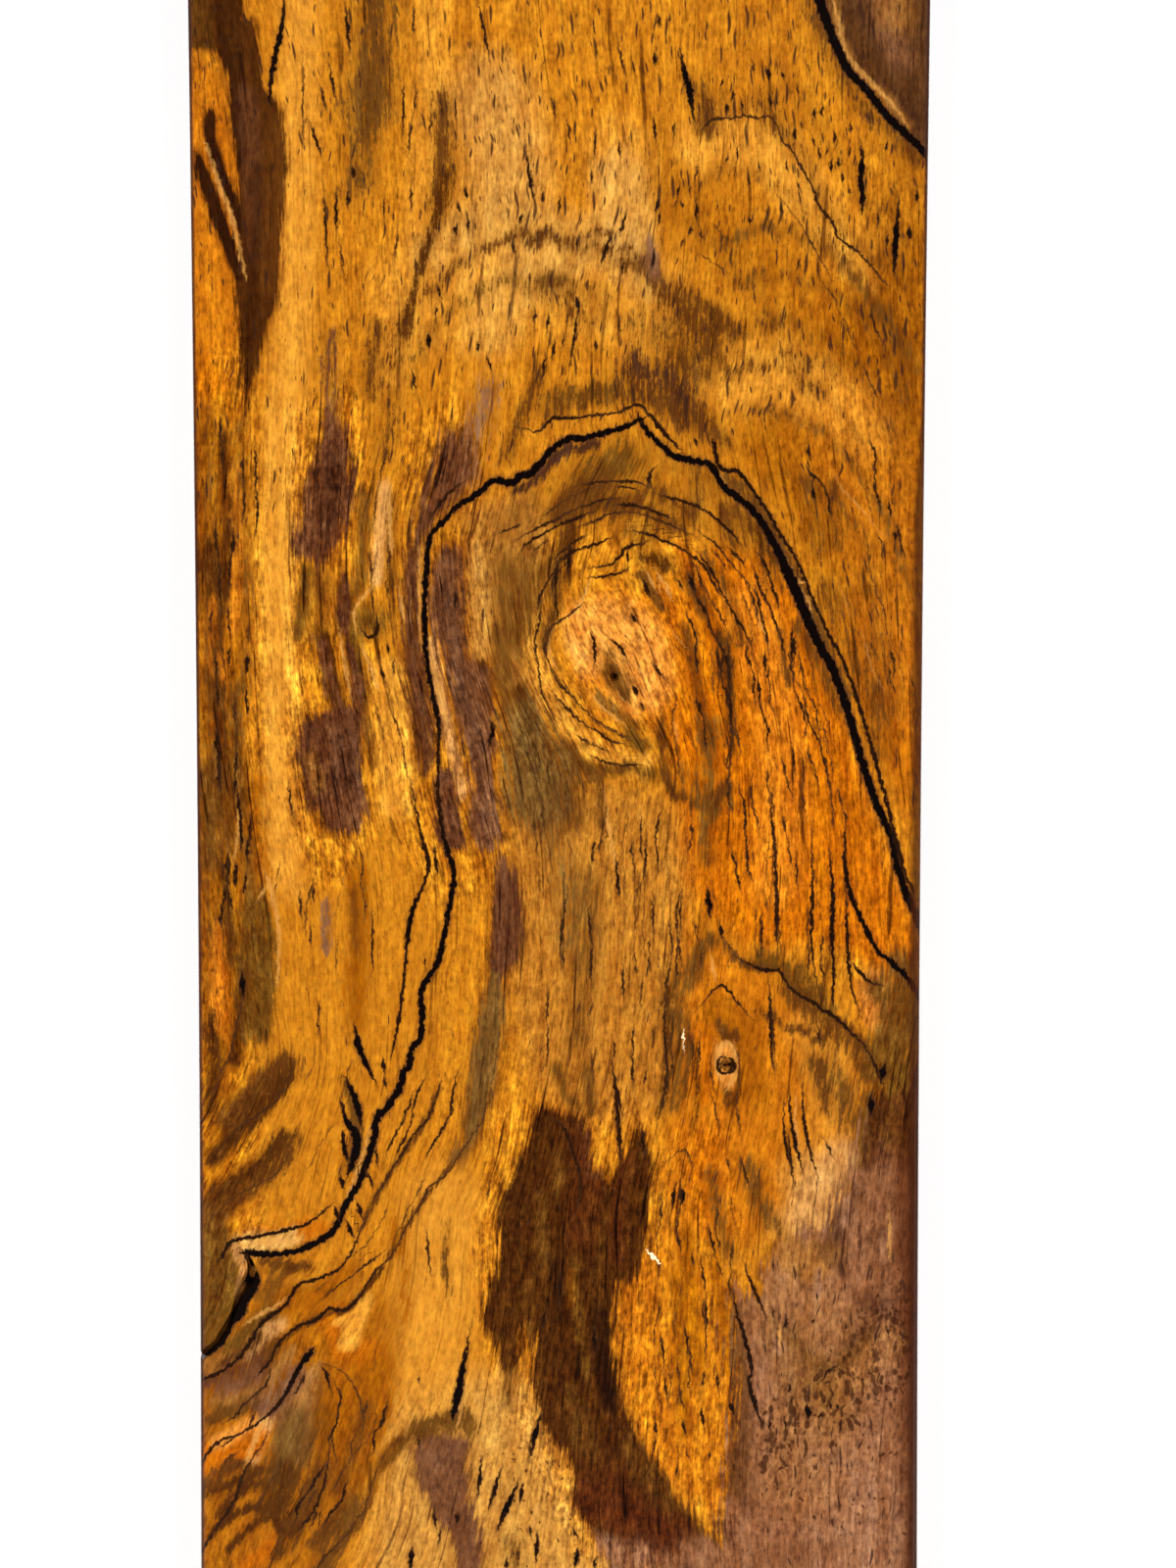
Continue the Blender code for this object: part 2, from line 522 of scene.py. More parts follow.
def colour(name):
    """A wood colour as the shader needs it: linear, and a little under what the light adds."""
    shares = np.array(WOOD_COLOURS[name]) / 255
    linear = np.where(shares <= 0.04045, shares / 12.92, ((shares + 0.055) / 1.055) ** 2.4)
    return np.maximum(linear - OWN_SHINE, LEAST_COLOUR) / LIGHT_GAIN


def lay_area(paint, name, amount, soft, points):
    """Paint the inside of an outline, soft at its edge."""
    gap = ring_gap(feathered, points, soft)
    mask = amount * (1 - ease(-soft / 2, soft / 2, gap))
    paint += (colour(name) - paint) * mask[:, None]


def lay_stroke(paint, name, amount, half_width, soft, points):
    """Paint a band along a line, soft at its sides."""
    near, off, _ = measure(feathered, smooth(points), half_width + soft / 2)
    mask = amount * (1 - ease(half_width - soft / 2, half_width + soft / 2, np.abs(off)))
    paint[near] += (colour(name) - paint[near]) * mask[:, None]


# The golden wood: heartwood from straw gold to deep orange, in soft columns along the board
# and deepest beside the great knot and along the edges.
ground = np.tile(colour("gold"), (len(spots), 1))
GOLDEN_AREAS = (
    # colour, amount, softness in mm, outline
    ("amber", 0.75, 9, [745, 470, 800, 380, 860, 300, 970, 270, 970, 760, 900, 760, 860, 640, 800, 530]),
    ("deep amber", 0.45, 8, [900, 150, 960, 140, 960, 780, 915, 780, 890, 640, 880, 450, 885, 300]),
    ("tan", 0.75, 5, [470, 520, 540, 500, 560, 560, 550, 640, 560, 720, 520, 720, 490, 640]),
    ("olive", 0.25, 5, [470, 540, 540, 500, 650, 445, 740, 490, 800, 570, 760, 600, 700, 540, 640, 520,
     580, 560, 560, 600, 500, 620]),
    ("orange", 0.7, 4, [640, 620, 700, 580, 740, 640, 748, 760, 700, 790, 660, 720]),
    ("orange", 0.9, 5, [690, 560, 790, 570, 850, 690, 900, 860, 950, 980, 950, 1020, 860, 970, 760, 960,
     700, 900, 690, 760, 710, 660]),
    ("orange", 0.5, 4, [840, 640, 960, 900, 960, 700, 900, 620]),
    ("tan", 0.5, 6, [520, 820, 600, 800, 690, 830, 700, 1000, 680, 1130, 560, 1130, 520, 1000]),
    ("orange", 0.55, 5, [700, 940, 790, 990, 900, 1090, 880, 1170, 780, 1260, 690, 1260, 680, 1100]),
    ("amber", 0.7, 4, [190, 340, 232, 380, 248, 430, 250, 700, 250, 1000, 250, 1240, 190, 1260]),
    ("straw", 0.8, 8, [400, 1430, 520, 1400, 560, 1460, 600, 1600, 620, 1760, 380, 1760]),
    ("orange", 0.45, 4, [632, 1300, 680, 1260, 745, 1310, 748, 1450, 735, 1545, 690, 1510, 640, 1430]),
    ("amber", 0.75, 4, [190, 1260, 300, 1320, 400, 1330, 400, 1420, 330, 1600, 300, 1760, 190, 1760]),
    ("orange", 0.5, 3, [190, 60, 230, 90, 250, 200, 245, 340, 190, 420]),
)
GOLDEN_STROKES = (
    # colour, amount, half width and softness in mm, places
    ("bright gold", 0.75, 3, 4, [305, -200, 305, 150, 300, 300, 285, 560, 285, 700, 292, 900]),
    ("bright gold", 0.5, 2.5, 4, [450, -200, 440, 60, 430, 200, 420, 300, 400, 380]),
    ("pale gold", 0.5, 6, 9, [500, 100, 520, 180, 500, 270]),
    ("bright gold", 0.6, 9, 7, [440, 300, 600, 280, 640, 300]),
    ("bright gold", 0.6, 5, 4, [630, 150, 640, 200]),
    ("straw", 0.6, 3, 4, [440, 260, 480, 235, 560, 232, 620, 238, 650, 258]),
    ("bright gold", 0.5, 4, 5, [720, 150, 770, 140, 820, 190, 860, 250]),
    ("amber", 0.5, 5, 7, [700, 210, 760, 260, 820, 300, 880, 360]),
    ("bright gold", 0.5, 4, 6, [735, 385, 770, 372, 815, 378, 850, 410]),
    ("amber", 0.6, 5, 7, [850, 420, 900, 560, 930, 700]),
    ("bright gold", 0.8, 1.9, 1.6, [545, 640, 548, 680, 575, 735, 605, 765, 640, 780, 655, 778]),
    ("bright orange", 0.9, 6.5, 5, [625, 650, 640, 690]),
    ("pale orange", 0.8, 4.6, 4, [605, 640, 645, 655, 655, 700]),
    ("bright orange", 0.5, 4, 4, [765, 620, 790, 700, 800, 800, 790, 900]),
    ("bright gold", 0.5, 4, 5, [830, 1050, 850, 1120, 830, 1200]),
    ("straw", 0.5, 4, 4, [820, 1200, 845, 1230, 810, 1250]),
    ("bright gold", 0.6, 6, 7, [450, 1230, 445, 1330, 440, 1420]),
    ("straw", 0.8, 1.4, 1.6, [486, 560, 489, 610, 490, 665]),
    ("pale tan", 0.7, 1, 1.2, [392, 500, 388, 545, 384, 592]),
    ("bright gold", 0.7, 3, 2.4, [398, 690, 402, 740, 405, 820]),
    ("pale tan", 0.8, 0.9, 1, [441, 655, 448, 700, 472, 812]),
    ("pale orange", 0.9, 2.2, 1.6, [592, 658, 600, 678]),
    ("red orange", 0.5, 1.6, 2, [218, 650, 222, 760]),
    ("red orange", 0.5, 1.8, 2.4, [222, 960, 224, 1050]),
    ("orange", 0.8, 2.4, 2.4, [345, 1345, 355, 1370, 372, 1380]),
    ("orange", 0.8, 1.6, 2, [250, 1270, 290, 1262, 330, 1250]),
    ("grey tan", 0.7, 2.6, 2.4, [300, 1430, 300, 1480]),
    ("orange", 0.7, 1.8, 1.6, [717, 1055, 716, 1095, 722, 1120]),
    ("amber", 0.8, 2.6, 2.4, [735, 1030, 760, 1060, 768, 1110]),
    ("orange", 0.9, 2.2, 2, [885, 1010, 893, 1035, 900, 1050]),
    ("orange", 0.7, 2.2, 3, [725, 1165, 718, 1200, 725, 1235]),
    ("pale tan", 0.8, 3.6, 4, [860, 1185, 840, 1205, 825, 1240]),
    ("bright gold", 1, 1.6, 0.8, [371, 1328, 364, 1348, 360, 1366]),
    ("bright gold", 1, 1, 0.6, [348, 1348, 368, 1345]),
    ("pale tan", 0.9, 1.3, 1, [272, 1448, 264, 1466, 257, 1486]),
    ("orange", 1, 3, 1.6, [215, 1490, 238, 1478, 252, 1470]),
    ("pale gold", 0.9, 1.6, 1.4, [245, 1272, 270, 1270, 295, 1265]),
    ("pale tan", 0.8, 1.4, 1.4, [258, 1378, 268, 1362, 284, 1350]),
    ("pale tan", 0.8, 1.3, 1.2, [240, 1278, 245, 1298, 238, 1318]),
    ("tan", 0.8, 1.6, 1.6, [212, 1395, 232, 1385, 250, 1368]),
    ("straw", 0.6, 3.6, 4, [620, 1600, 600, 1620, 580, 1680]),
    ("bright gold", 0.7, 3, 4, [710, 150, 740, 145, 780, 160, 815, 200]),
    ("bright gold", 0.6, 1.6, 2, [845, 232, 862, 260, 885, 290]),
    ("straw", 0.6, 3, 3, [530, 262, 580, 258, 630, 265, 660, 290]),
    ("straw", 0.5, 4, 4, [500, 340, 520, 300, 560, 280]),
    ("pale gold", 0.5, 4, 4, [630, 180, 635, 210, 640, 235]),
    ("bright gold", 0.5, 4, 5, [760, 400, 800, 390, 850, 410, 880, 440]),
    ("bright orange", 0.6, 1, 1, [216, 560, 218, 640, 222, 700]),
    ("bright orange", 0.5, 1.2, 1.2, [238, 480, 240, 560, 238, 640]),
    ("bright orange", 0.6, 1.2, 1.2, [222, 950, 222, 1010, 216, 1060]),
    ("bright gold", 0.8, 2.2, 1.6, [285, 420, 287, 600, 285, 800, 287, 880]),
    ("orange", 0.8, 1.4, 1.2, [290, 1565, 272, 1585, 252, 1600]),
    ("pale orange", 0.8, 1.6, 1.2, [740, 1070, 742, 1100]),
    ("pale orange", 0.7, 2.4, 2, [892, 1005, 898, 1040]),
    ("pale orange", 0.7, 1.2, 1, [222, 1470, 240, 1462, 258, 1450]),
    ("bright orange", 0.3, 7, 8, [870, 430, 905, 560, 930, 700]),
)
for area in GOLDEN_AREAS:
    lay_area(ground, *area)
for stroke in GOLDEN_STROKES:
    lay_stroke(ground, *stroke)


# Stains in the golden wood: brown, olive and purple shades along the growth lines and beside
# the ink lines, and two tall arches above the great knot, where the saw went through its
# growth rings. They break up into fibres at their edges.
STAIN_REACH = 2
STAIN_EASES_FROM = 1.4
STAIN_FALL = 1.2
STAINS = (
    # colour, amount, half width in mm, places
    ("umber", 0.8, 4.8, [386, -200, 384, 0, 376, 105]),
    ("umber", 0.75, 3.4, [378, 90, 372, 140, 366, 185]),
    ("brown", 0.85, 2.2, [452, 100, 452, 170, 447, 205]),
    ("dark brown", 0.85, 1.4, [456, 180, 447, 225, 436, 252, 412, 335]),
    ("brown", 0.8, 1.4, [384, 330, 380, 360, 376, 400]),
    ("brown", 0.5, 2.8, [410, 340, 400, 400, 392, 460]),
    ("purple", 0.7, 2, [336, 350, 338, 400, 336, 430]),
    ("grey purple", 0.7, 2.8, [500, 395, 485, 440, 475, 480]),
    ("brown", 0.8, 1.4, [552, 378, 527, 438, 516, 470]),
    ("brown", 0.6, 1, [525, 240, 575, 238, 625, 241, 680, 288, 715, 309, 755, 343]),
    ("brown", 0.5, 3, [665, 285, 700, 310, 745, 345]),
    ("brown", 0.45, 4.6, [700, 330, 705, 370]),
    ("dark purple", 0.85, 3.1, [645, 375, 668, 380, 690, 400, 702, 425]),
    ("brown", 0.75, 2.8, [562, 422, 600, 405, 650, 402, 700, 420, 735, 445]),
    ("brown", 0.3, 4.2, [672, 150, 662, 200]),
    ("brown", 0.5, 3.5, [565, 300, 600, 325]),
    ("brown", 0.5, 1.5, [715, 132, 760, 112, 790, 125, 820, 160, 835, 200, 860, 235, 895, 265]),
    ("brown", 0.7, 1.7, [716, 85, 719, 130]),
    ("brown", 0.5, 2.2, [782, 98, 797, 142]),
    ("brown", 0.45, 1.1, [750, 388, 770, 375, 810, 380, 850, 410, 880, 450]),
    ("brown", 0.7, 2.1, [826, 0, 862, 85, 940, 165]),
    ("dark purple", 1, 1.1, [528, 497, 545, 491, 575, 460, 610, 450]),
    ("olive", 0.8, 3.4, [605, 480, 640, 468]),
    ("brown", 0.8, 3.8, [585, 515, 610, 505, 630, 512]),
    ("brown", 0.8, 1.7, [562, 530, 577, 520, 590, 500, 610, 489]),
    ("brown", 0.8, 1.4, [652, 516, 670, 524, 690, 537]),
    ("brown", 0.7, 1.7, [665, 502, 690, 511, 705, 520]),
    ("brown", 0.6, 1.9, [712, 478, 712, 505, 705, 525]),
    ("brown", 0.8, 1.4, [573, 525, 580, 540, 566, 582]),
    ("dark brown", 0.9, 1.2, [582, 545, 579, 590]),
    ("dark brown", 0.9, 1.5, [655, 563, 668, 568, 682, 577]),
    ("brown", 0.6, 2.2, [640, 545, 670, 540]),
    ("brown", 0.7, 1.4, [740, 520, 745, 545, 752, 560]),
    ("brown", 0.6, 2.8, [745, 500, 770, 540, 790, 590]),
    ("brown", 0.8, 1.9, [700, 590, 712, 605, 718, 620]),
    ("olive", 0.6, 4, [545, 590, 535, 640]),
    ("brown", 0.6, 2.6, [620, 665, 635, 700]),
    ("dark brown", 0.8, 1.4, [730, 640, 742, 655, 744, 720, 747, 760]),
    ("umber", 0.6, 2, [700, 790, 720, 815, 745, 815]),
    ("brown", 0.6, 1.5, [735, 650, 735, 690]),
    ("olive", 0.9, 1.4, [575, 770, 600, 785, 630, 788, 645, 783, 667, 791]),
    ("faded umber", 0.5, 4, [560, 840, 575, 900, 580, 960]),
    # along the falling ink line and right of it
    ("umber", 0.95, 0.9, [742, 487, 757, 497, 770, 512, 785, 533, 800, 560, 812, 585, 825, 618, 845, 660,
     865, 710]),
    ("dark brown", 0.8, 1.1, [768, 538, 778, 552, 790, 570]),
    ("brown", 0.8, 1.3, [815, 640, 842, 690, 852, 720]),
    ("brown", 0.6, 3, [845, 600, 865, 650, 885, 710, 900, 770]),
    ("brown", 0.5, 2.6, [885, 590, 898, 650, 905, 720]),
    ("brown", 0.6, 1.4, [853, 495, 855, 560]),
    ("brown", 0.6, 2, [828, 500, 835, 560]),
    ("brown", 0.45, 1.4, [750, 292, 800, 282, 850, 300, 880, 322, 912, 378, 930, 425]),
    ("brown", 0.4, 1.2, [742, 384, 762, 372, 800, 364, 838, 368, 856, 386]),
    ("brown", 0.4, 1.6, [800, 480, 845, 505, 872, 535, 895, 570]),
    ("brown", 0.3, 2.6, [700, 230, 740, 262, 790, 330, 830, 400]),
    ("brown", 0.5, 1.6, [735, 100, 715, 118, 730, 135]),
    ("brown", 0.4, 1.8, [700, 190, 760, 175, 820, 215, 880, 290, 925, 360]),
    ("umber", 0.6, 1.3, [740, 250, 790, 235, 850, 262, 900, 320, 935, 380]),
    ("brown", 0.4, 1.8, [720, 340, 770, 330, 830, 335, 880, 380, 915, 450]),
    ("umber", 0.5, 1.4, [760, 420, 810, 425, 860, 460, 900, 520, 930, 600]),
    ("brown", 0.7, 1.2, [440, 300, 480, 262, 540, 245, 600, 250, 650, 275, 700, 320, 740, 375]),
    ("olive", 0.5, 1.6, [430, 360, 460, 315, 520, 290, 580, 285]),
    ("brown", 0.3, 2, [790, 60, 830, 120, 880, 200, 925, 290]),
    ("umber", 0.5, 3.4, [655, 330, 690, 350, 715, 375]),
    ("olive", 0.55, 1.6, [560, 405, 590, 402, 630, 400]),
    ("umber", 0.4, 1.6, [540, 300, 565, 285, 590, 290, 620, 300]),
    # the arches
    ("grey purple", 0.9, 1.4, [662, 250, 668, 276]),
    # the left side
    ("umber", 0.9, 1.8, [212, 790, 213, 880]),
    ("brown", 0.7, 2, [232, 780, 232, 860]),
    ("olive", 0.7, 2.4, [255, 940, 252, 980]),
    ("olive", 1, 2, [268, 965, 270, 1010, 262, 1050]),
    ("dark brown", 0.9, 1.4, [246, 985, 246, 1030, 240, 1080]),
    ("amber", 0.8, 3, [258, 800, 258, 890]),
    ("grey purple", 0.9, 1, [333, 922, 333, 968]),
    ("amber", 0.9, 2.4, [366, 890, 366, 960, 363, 1040]),
    ("brown", 0.6, 1, [361, 905, 362, 970]),
    ("umber", 0.9, 1.6, [497, 1040, 495, 1080, 487, 1120, 478, 1155]),
    # round the small knot and the ridge line above it
    ("brown", 1, 0.9, [745, 966, 768, 985, 795, 990, 828, 1022, 862, 1048, 892, 1085, 900, 1105]),
    ("brown", 0.8, 2, [800, 1010, 865, 1065, 885, 1095]),
    ("brown", 0.8, 0.9, [770, 1030, 800, 1046, 830, 1058, 850, 1050]),
    ("dark brown", 0.8, 0.7, [705, 1060, 712, 1110, 708, 1150]),
    ("dark brown", 0.8, 1.6, [905, 1075, 918, 1095, 930, 1105]),
    ("brown", 1, 1.3, [736, 1044, 741, 1052, 748, 1056]),
    ("brown", 0.9, 1.1, [742, 1110, 747, 1126]),
    ("umber", 0.7, 1.4, [690, 1000, 694, 1060, 690, 1130]),
    ("dark brown", 0.8, 1.2, [680, 1010, 681, 1080, 675, 1140]),
    ("umber", 0.9, 2.2, [725, 960, 712, 975, 706, 1000]),
    ("olive", 0.85, 1.8, [775, 975, 800, 985, 826, 1005, 845, 1025]),
    ("umber", 0.9, 3.2, [920, 985, 925, 1040, 922, 1090]),
    ("umber", 0.9, 2.8, [893, 1010, 910, 1030, 905, 1060]),
    ("olive", 1, 3, [905, 1085, 920, 1110, 925, 1140]),
    ("olive", 1, 2, [888, 1120, 886, 1150, 883, 1185]),
    ("umber", 0.75, 3.6, [835, 1085, 855, 1110, 868, 1140]),
    ("brown", 0.7, 1, [838, 1080, 842, 1130]),
    ("umber", 0.8, 2.2, [765, 1190, 775, 1230, 790, 1252]),
    ("umber", 0.7, 1.6, [725, 1200, 735, 1250, 745, 1280]),
    ("amber", 0.9, 2, [700, 1260, 706, 1330, 712, 1400]),
    ("amber", 0.9, 1.4, [690, 1300, 694, 1400, 700, 1460]),
    ("amber", 0.8, 1.4, [728, 1280, 738, 1340, 742, 1400]),
    # the golden wood between the dark patch and the triangle
    ("umber", 0.7, 1.4, [522, 1390, 516, 1430]),
    ("umber", 0.6, 2.4, [520, 1570, 526, 1600]),
    ("olive", 0.9, 1.4, [392, 1495, 405, 1477, 422, 1462, 440, 1450, 470, 1447]),
    ("umber", 0.9, 2.2, [430, 1462, 455, 1455, 478, 1458]),
    ("umber", 0.9, 1.2, [600, 1085, 603, 1130]),
    ("olive", 0.9, 1.2, [568, 1090, 575, 1110, 585, 1122]),
    # soft shades under the tail line and its branch
    ("brown", 0.9, 0.7, [470, 1176, 430, 1228, 395, 1286]),
    ("dark brown", 0.9, 0.7, [388, 1296, 370, 1320, 352, 1338, 335, 1340, 290, 1366, 266, 1402]),
    ("brown", 0.9, 0.7, [448, 1110, 436, 1140, 400, 1195, 384, 1222, 370, 1250]),
    ("brown", 0.9, 0.8, [405, 1470, 385, 1500, 372, 1545, 345, 1578, 310, 1625]),
    ("olive", 0.9, 1.2, [352, 1105, 360, 1125, 366, 1150, 358, 1190]),
    ("dark brown", 0.8, 0.6, [338, 1405, 341, 1440, 337, 1480, 331, 1510, 318, 1545, 300, 1562]),
    ("umber", 0.8, 1, [326, 1410, 322, 1450, 310, 1490, 292, 1520]),
    ("brown", 0.9, 1, [270, 1430, 240, 1440, 212, 1450]),
    ("dark brown", 0.9, 0.9, [300, 1568, 275, 1550, 255, 1560, 230, 1585]),
    ("dark brown", 0.9, 1.2, [205, 1528, 235, 1515, 262, 1518, 290, 1530]),
    ("dark brown", 0.9, 1, [212, 1572, 236, 1548, 262, 1540, 282, 1552]),
    ("dark brown", 0.8, 1.4, [334, 1440, 330, 1490, 312, 1530, 290, 1560]),
    ("brown", 0.9, 1.4, [372, 1450, 366, 1500, 350, 1540, 322, 1575]),
    ("dark brown", 0.8, 1, [225, 1392, 246, 1380, 266, 1362]),
    ("umber", 0.7, 1, [455, 1250, 452, 1290, 458, 1320]),
    ("amber", 0.6, 1.6, [400, 1250, 415, 1300, 410, 1350]),
    # the swirl
    ("umber", 0.9, 3, [216, 1235, 218, 1290, 216, 1340, 206, 1370]),
    ("olive", 0.9, 1.6, [235, 1300, 230, 1330, 218, 1356]),
    ("olive", 1, 1.4, [282, 1338, 262, 1348, 236, 1376]),
    ("brown", 1, 1.4, [270, 1288, 290, 1293, 312, 1292]),
    ("umber", 0.8, 2, [285, 1305, 270, 1325]),
    ("amber", 0.9, 3, [300, 1325, 330, 1318, 352, 1300]),
    ("tan", 1, 1, [215, 1432, 240, 1428, 258, 1418]),
    ("tan", 1, 1.1, [262, 1425, 278, 1405, 298, 1380]),
    ("tan", 0.9, 1.8, [300, 1440, 312, 1415, 322, 1398]),
    ("umber", 0.9, 1.4, [222, 1440, 245, 1435, 262, 1425]),
    ("umber", 0.9, 2.4, [300, 1460, 290, 1500, 275, 1530]),
    ("amber", 0.95, 3.4, [352, 1415, 350, 1460, 345, 1520]),
    ("amber", 0.9, 4, [385, 1400, 380, 1450, 360, 1500]),
    ("brown", 0.9, 2.2, [262, 1400, 272, 1385, 280, 1370]),
    # the left edge
    ("brown", 0.5, 2, [210, 420, 212, 520, 208, 620]),
    ("dark brown", 0.75, 1.3, [228, 440, 232, 520, 230, 600, 222, 660]),
    ("umber", 0.5, 1.6, [246, 430, 248, 520, 252, 600, 248, 700]),
    ("brown", 0.55, 2, [215, 640, 214, 720, 212, 800]),
    ("umber", 0.8, 1.4, [240, 700, 242, 760, 248, 830]),
    ("dark brown", 0.8, 1.2, [222, 700, 225, 760, 222, 830]),
    ("dark brown", 0.8, 1.4, [225, 880, 232, 930, 236, 985]),
    ("brown", 0.5, 1.6, [212, 880, 214, 950, 212, 1010]),
    ("umber", 0.8, 1.4, [252, 860, 256, 920, 262, 960]),
    ("dark brown", 0.85, 1.6, [214, 1040, 220, 1090, 214, 1130]),
    ("brown", 1.1, 2.8, [290, 1085, 265, 1112, 235, 1142]),
    ("dark brown", 1.1, 1.5, [296, 1095, 272, 1128, 240, 1158, 218, 1182]),
    ("dark brown", 1, 2, [290, 1162, 265, 1190, 225, 1216]),
    # the swirl's shades
    ("purple", 0.9, 2, [210, 1412, 235, 1402, 262, 1385]),
    ("soft purple", 1, 1.5, [222, 1420, 245, 1412, 265, 1402]),
    ("soft purple", 1, 1.4, [275, 1442, 290, 1420, 300, 1402]),
    ("faded umber", 0.9, 2.2, [300, 1445, 292, 1475, 282, 1505]),
    ("brown", 0.9, 1.8, [215, 1510, 235, 1495, 252, 1500]),
    ("dark brown", 0.8, 1.6, [225, 1545, 245, 1520, 262, 1500]),
    ("brown", 0.8, 2.4, [330, 1500, 312, 1540, 290, 1580]),
    ("umber", 0.8, 2.6, [360, 1540, 340, 1580, 320, 1620]),
    ("dark brown", 0.7, 1.2, [298, 1560, 280, 1590, 262, 1620]),
    ("brown", 0.7, 1.4, [370, 1440, 362, 1480, 345, 1520]),
    # shades beside the great knot
    ("brown", 0.9, 1.1, [655, 585, 664, 600, 672, 615]),
    ("brown", 0.9, 1, [565, 590, 568, 620, 560, 640, 556, 660]),
    ("brown", 0.8, 1.4, [596, 520, 612, 515, 628, 520]),
    ("dark brown", 0.6, 1.6, [545, 745, 552, 790, 552, 830]),
    ("brown", 0.8, 1.3, [575, 760, 592, 780, 612, 790]),
    ("brown", 0.7, 1.2, [715, 560, 742, 600, 756, 650]),
    ("brown", 0.7, 1.4, [700, 640, 712, 700, 718, 760]),
    ("umber", 0.7, 1.6, [728, 740, 722, 790, 728, 830]),
    ("brown", 0.6, 1, [505, 640, 515, 700, 528, 750]),
    # round the left knot
    ("olive", 0.8, 1.6, [312, 585, 308, 620, 305, 650]),
    ("brown", 0.6, 2, [328, 590, 326, 640]),
    ("umber", 0.8, 1.4, [374, 500, 370, 545, 367, 600]),
    ("brown", 0.8, 0.9, [402, 500, 398, 545, 399, 600]),
    ("dark brown", 0.9, 1.5, [352, 600, 352, 635]),
    ("dark brown", 0.95, 1.5, [331, 655, 339, 690, 347, 725]),
    ("olive", 1, 1.4, [358, 645, 364, 680, 371, 715]),
    ("olive", 0.8, 2.6, [372, 628, 380, 640, 388, 632]),
    ("brown", 0.7, 1, [372, 725, 376, 750, 382, 785]),
    ("dark brown", 0.95, 1.1, [420, 640, 422, 690, 436, 770]),
    ("umber", 0.6, 3.2, [515, 580, 520, 640, 515, 690]),
    ("dark brown", 0.9, 0.8, [492, 675, 497, 720, 497, 800]),
    ("dark brown", 1, 1.6, [532, 705, 540, 740, 562, 800]),
    ("purple", 0.6, 3, [545, 760, 552, 790, 556, 820]),
    ("brown", 0.7, 2.6, [585, 790, 590, 830]),
    ("umber", 0.6, 3, [600, 900, 600, 980, 590, 1060]),
    ("brown", 0.95, 0.8, [612, 795, 614, 842]),
    # the knot's lower rings and the wood under it
    ("umber", 0.8, 1.2, [612, 712, 628, 726, 648, 738]),
    ("umber", 0.9, 1.5, [620, 684, 632, 700, 640, 708]),
    ("olive", 1, 1.6, [642, 752, 656, 762]),
    ("brown", 0.9, 0.9, [676, 735, 678, 790, 690, 815]),
    ("brown", 0.9, 1, [690, 812, 715, 820, 735, 812, 743, 800]),
    ("umber", 0.7, 1.6, [718, 820, 720, 875]),
    ("brown", 0.8, 0.8, [795, 640, 800, 675, 806, 700]),
    ("brown", 0.7, 0.6, [700, 1020, 702, 1070, 699, 1120]),
    ("olive", 0.8, 2.8, [900, 1070, 915, 1110, 905, 1150]),
    ("olive", 0.8, 3, [265, 930, 266, 1000, 262, 1050]),
    ("brown", 0.8, 1.9, [225, 1235, 255, 1215, 285, 1190, 300, 1165]),
    ("brown", 0.4, 2.8, [222, 700, 232, 780, 235, 860]),
    ("dark brown", 0.8, 2.4, [215, 560, 218, 600]),
    ("olive", 0.8, 2.4, [218, 1270, 222, 1320, 212, 1365]),
    ("grey purple", 0.8, 2.8, [275, 1430, 300, 1410]),
    ("dark brown", 0.9, 2.4, [290, 1500, 280, 1540]),
)
stain = np.tile(colour("brown"), (len(spots), 1))
stain_amount = np.zeros(len(spots))
for name, amount, half_width, points in STAINS:
    near, off, _ = measure(feathered, smooth(points), half_width * STAIN_REACH)
    fading = ease(STAIN_REACH, STAIN_EASES_FROM, np.abs(off) / half_width)
    mask = amount * np.exp(-STAIN_FALL * (off / half_width) ** 2) * fading
    both = 1 - (1 - stain_amount[near]) * (1 - mask)
    stain[near] += (colour(name) - stain[near]) * (mask / np.maximum(both, 0.001))[:, None]
    stain_amount[near] = both


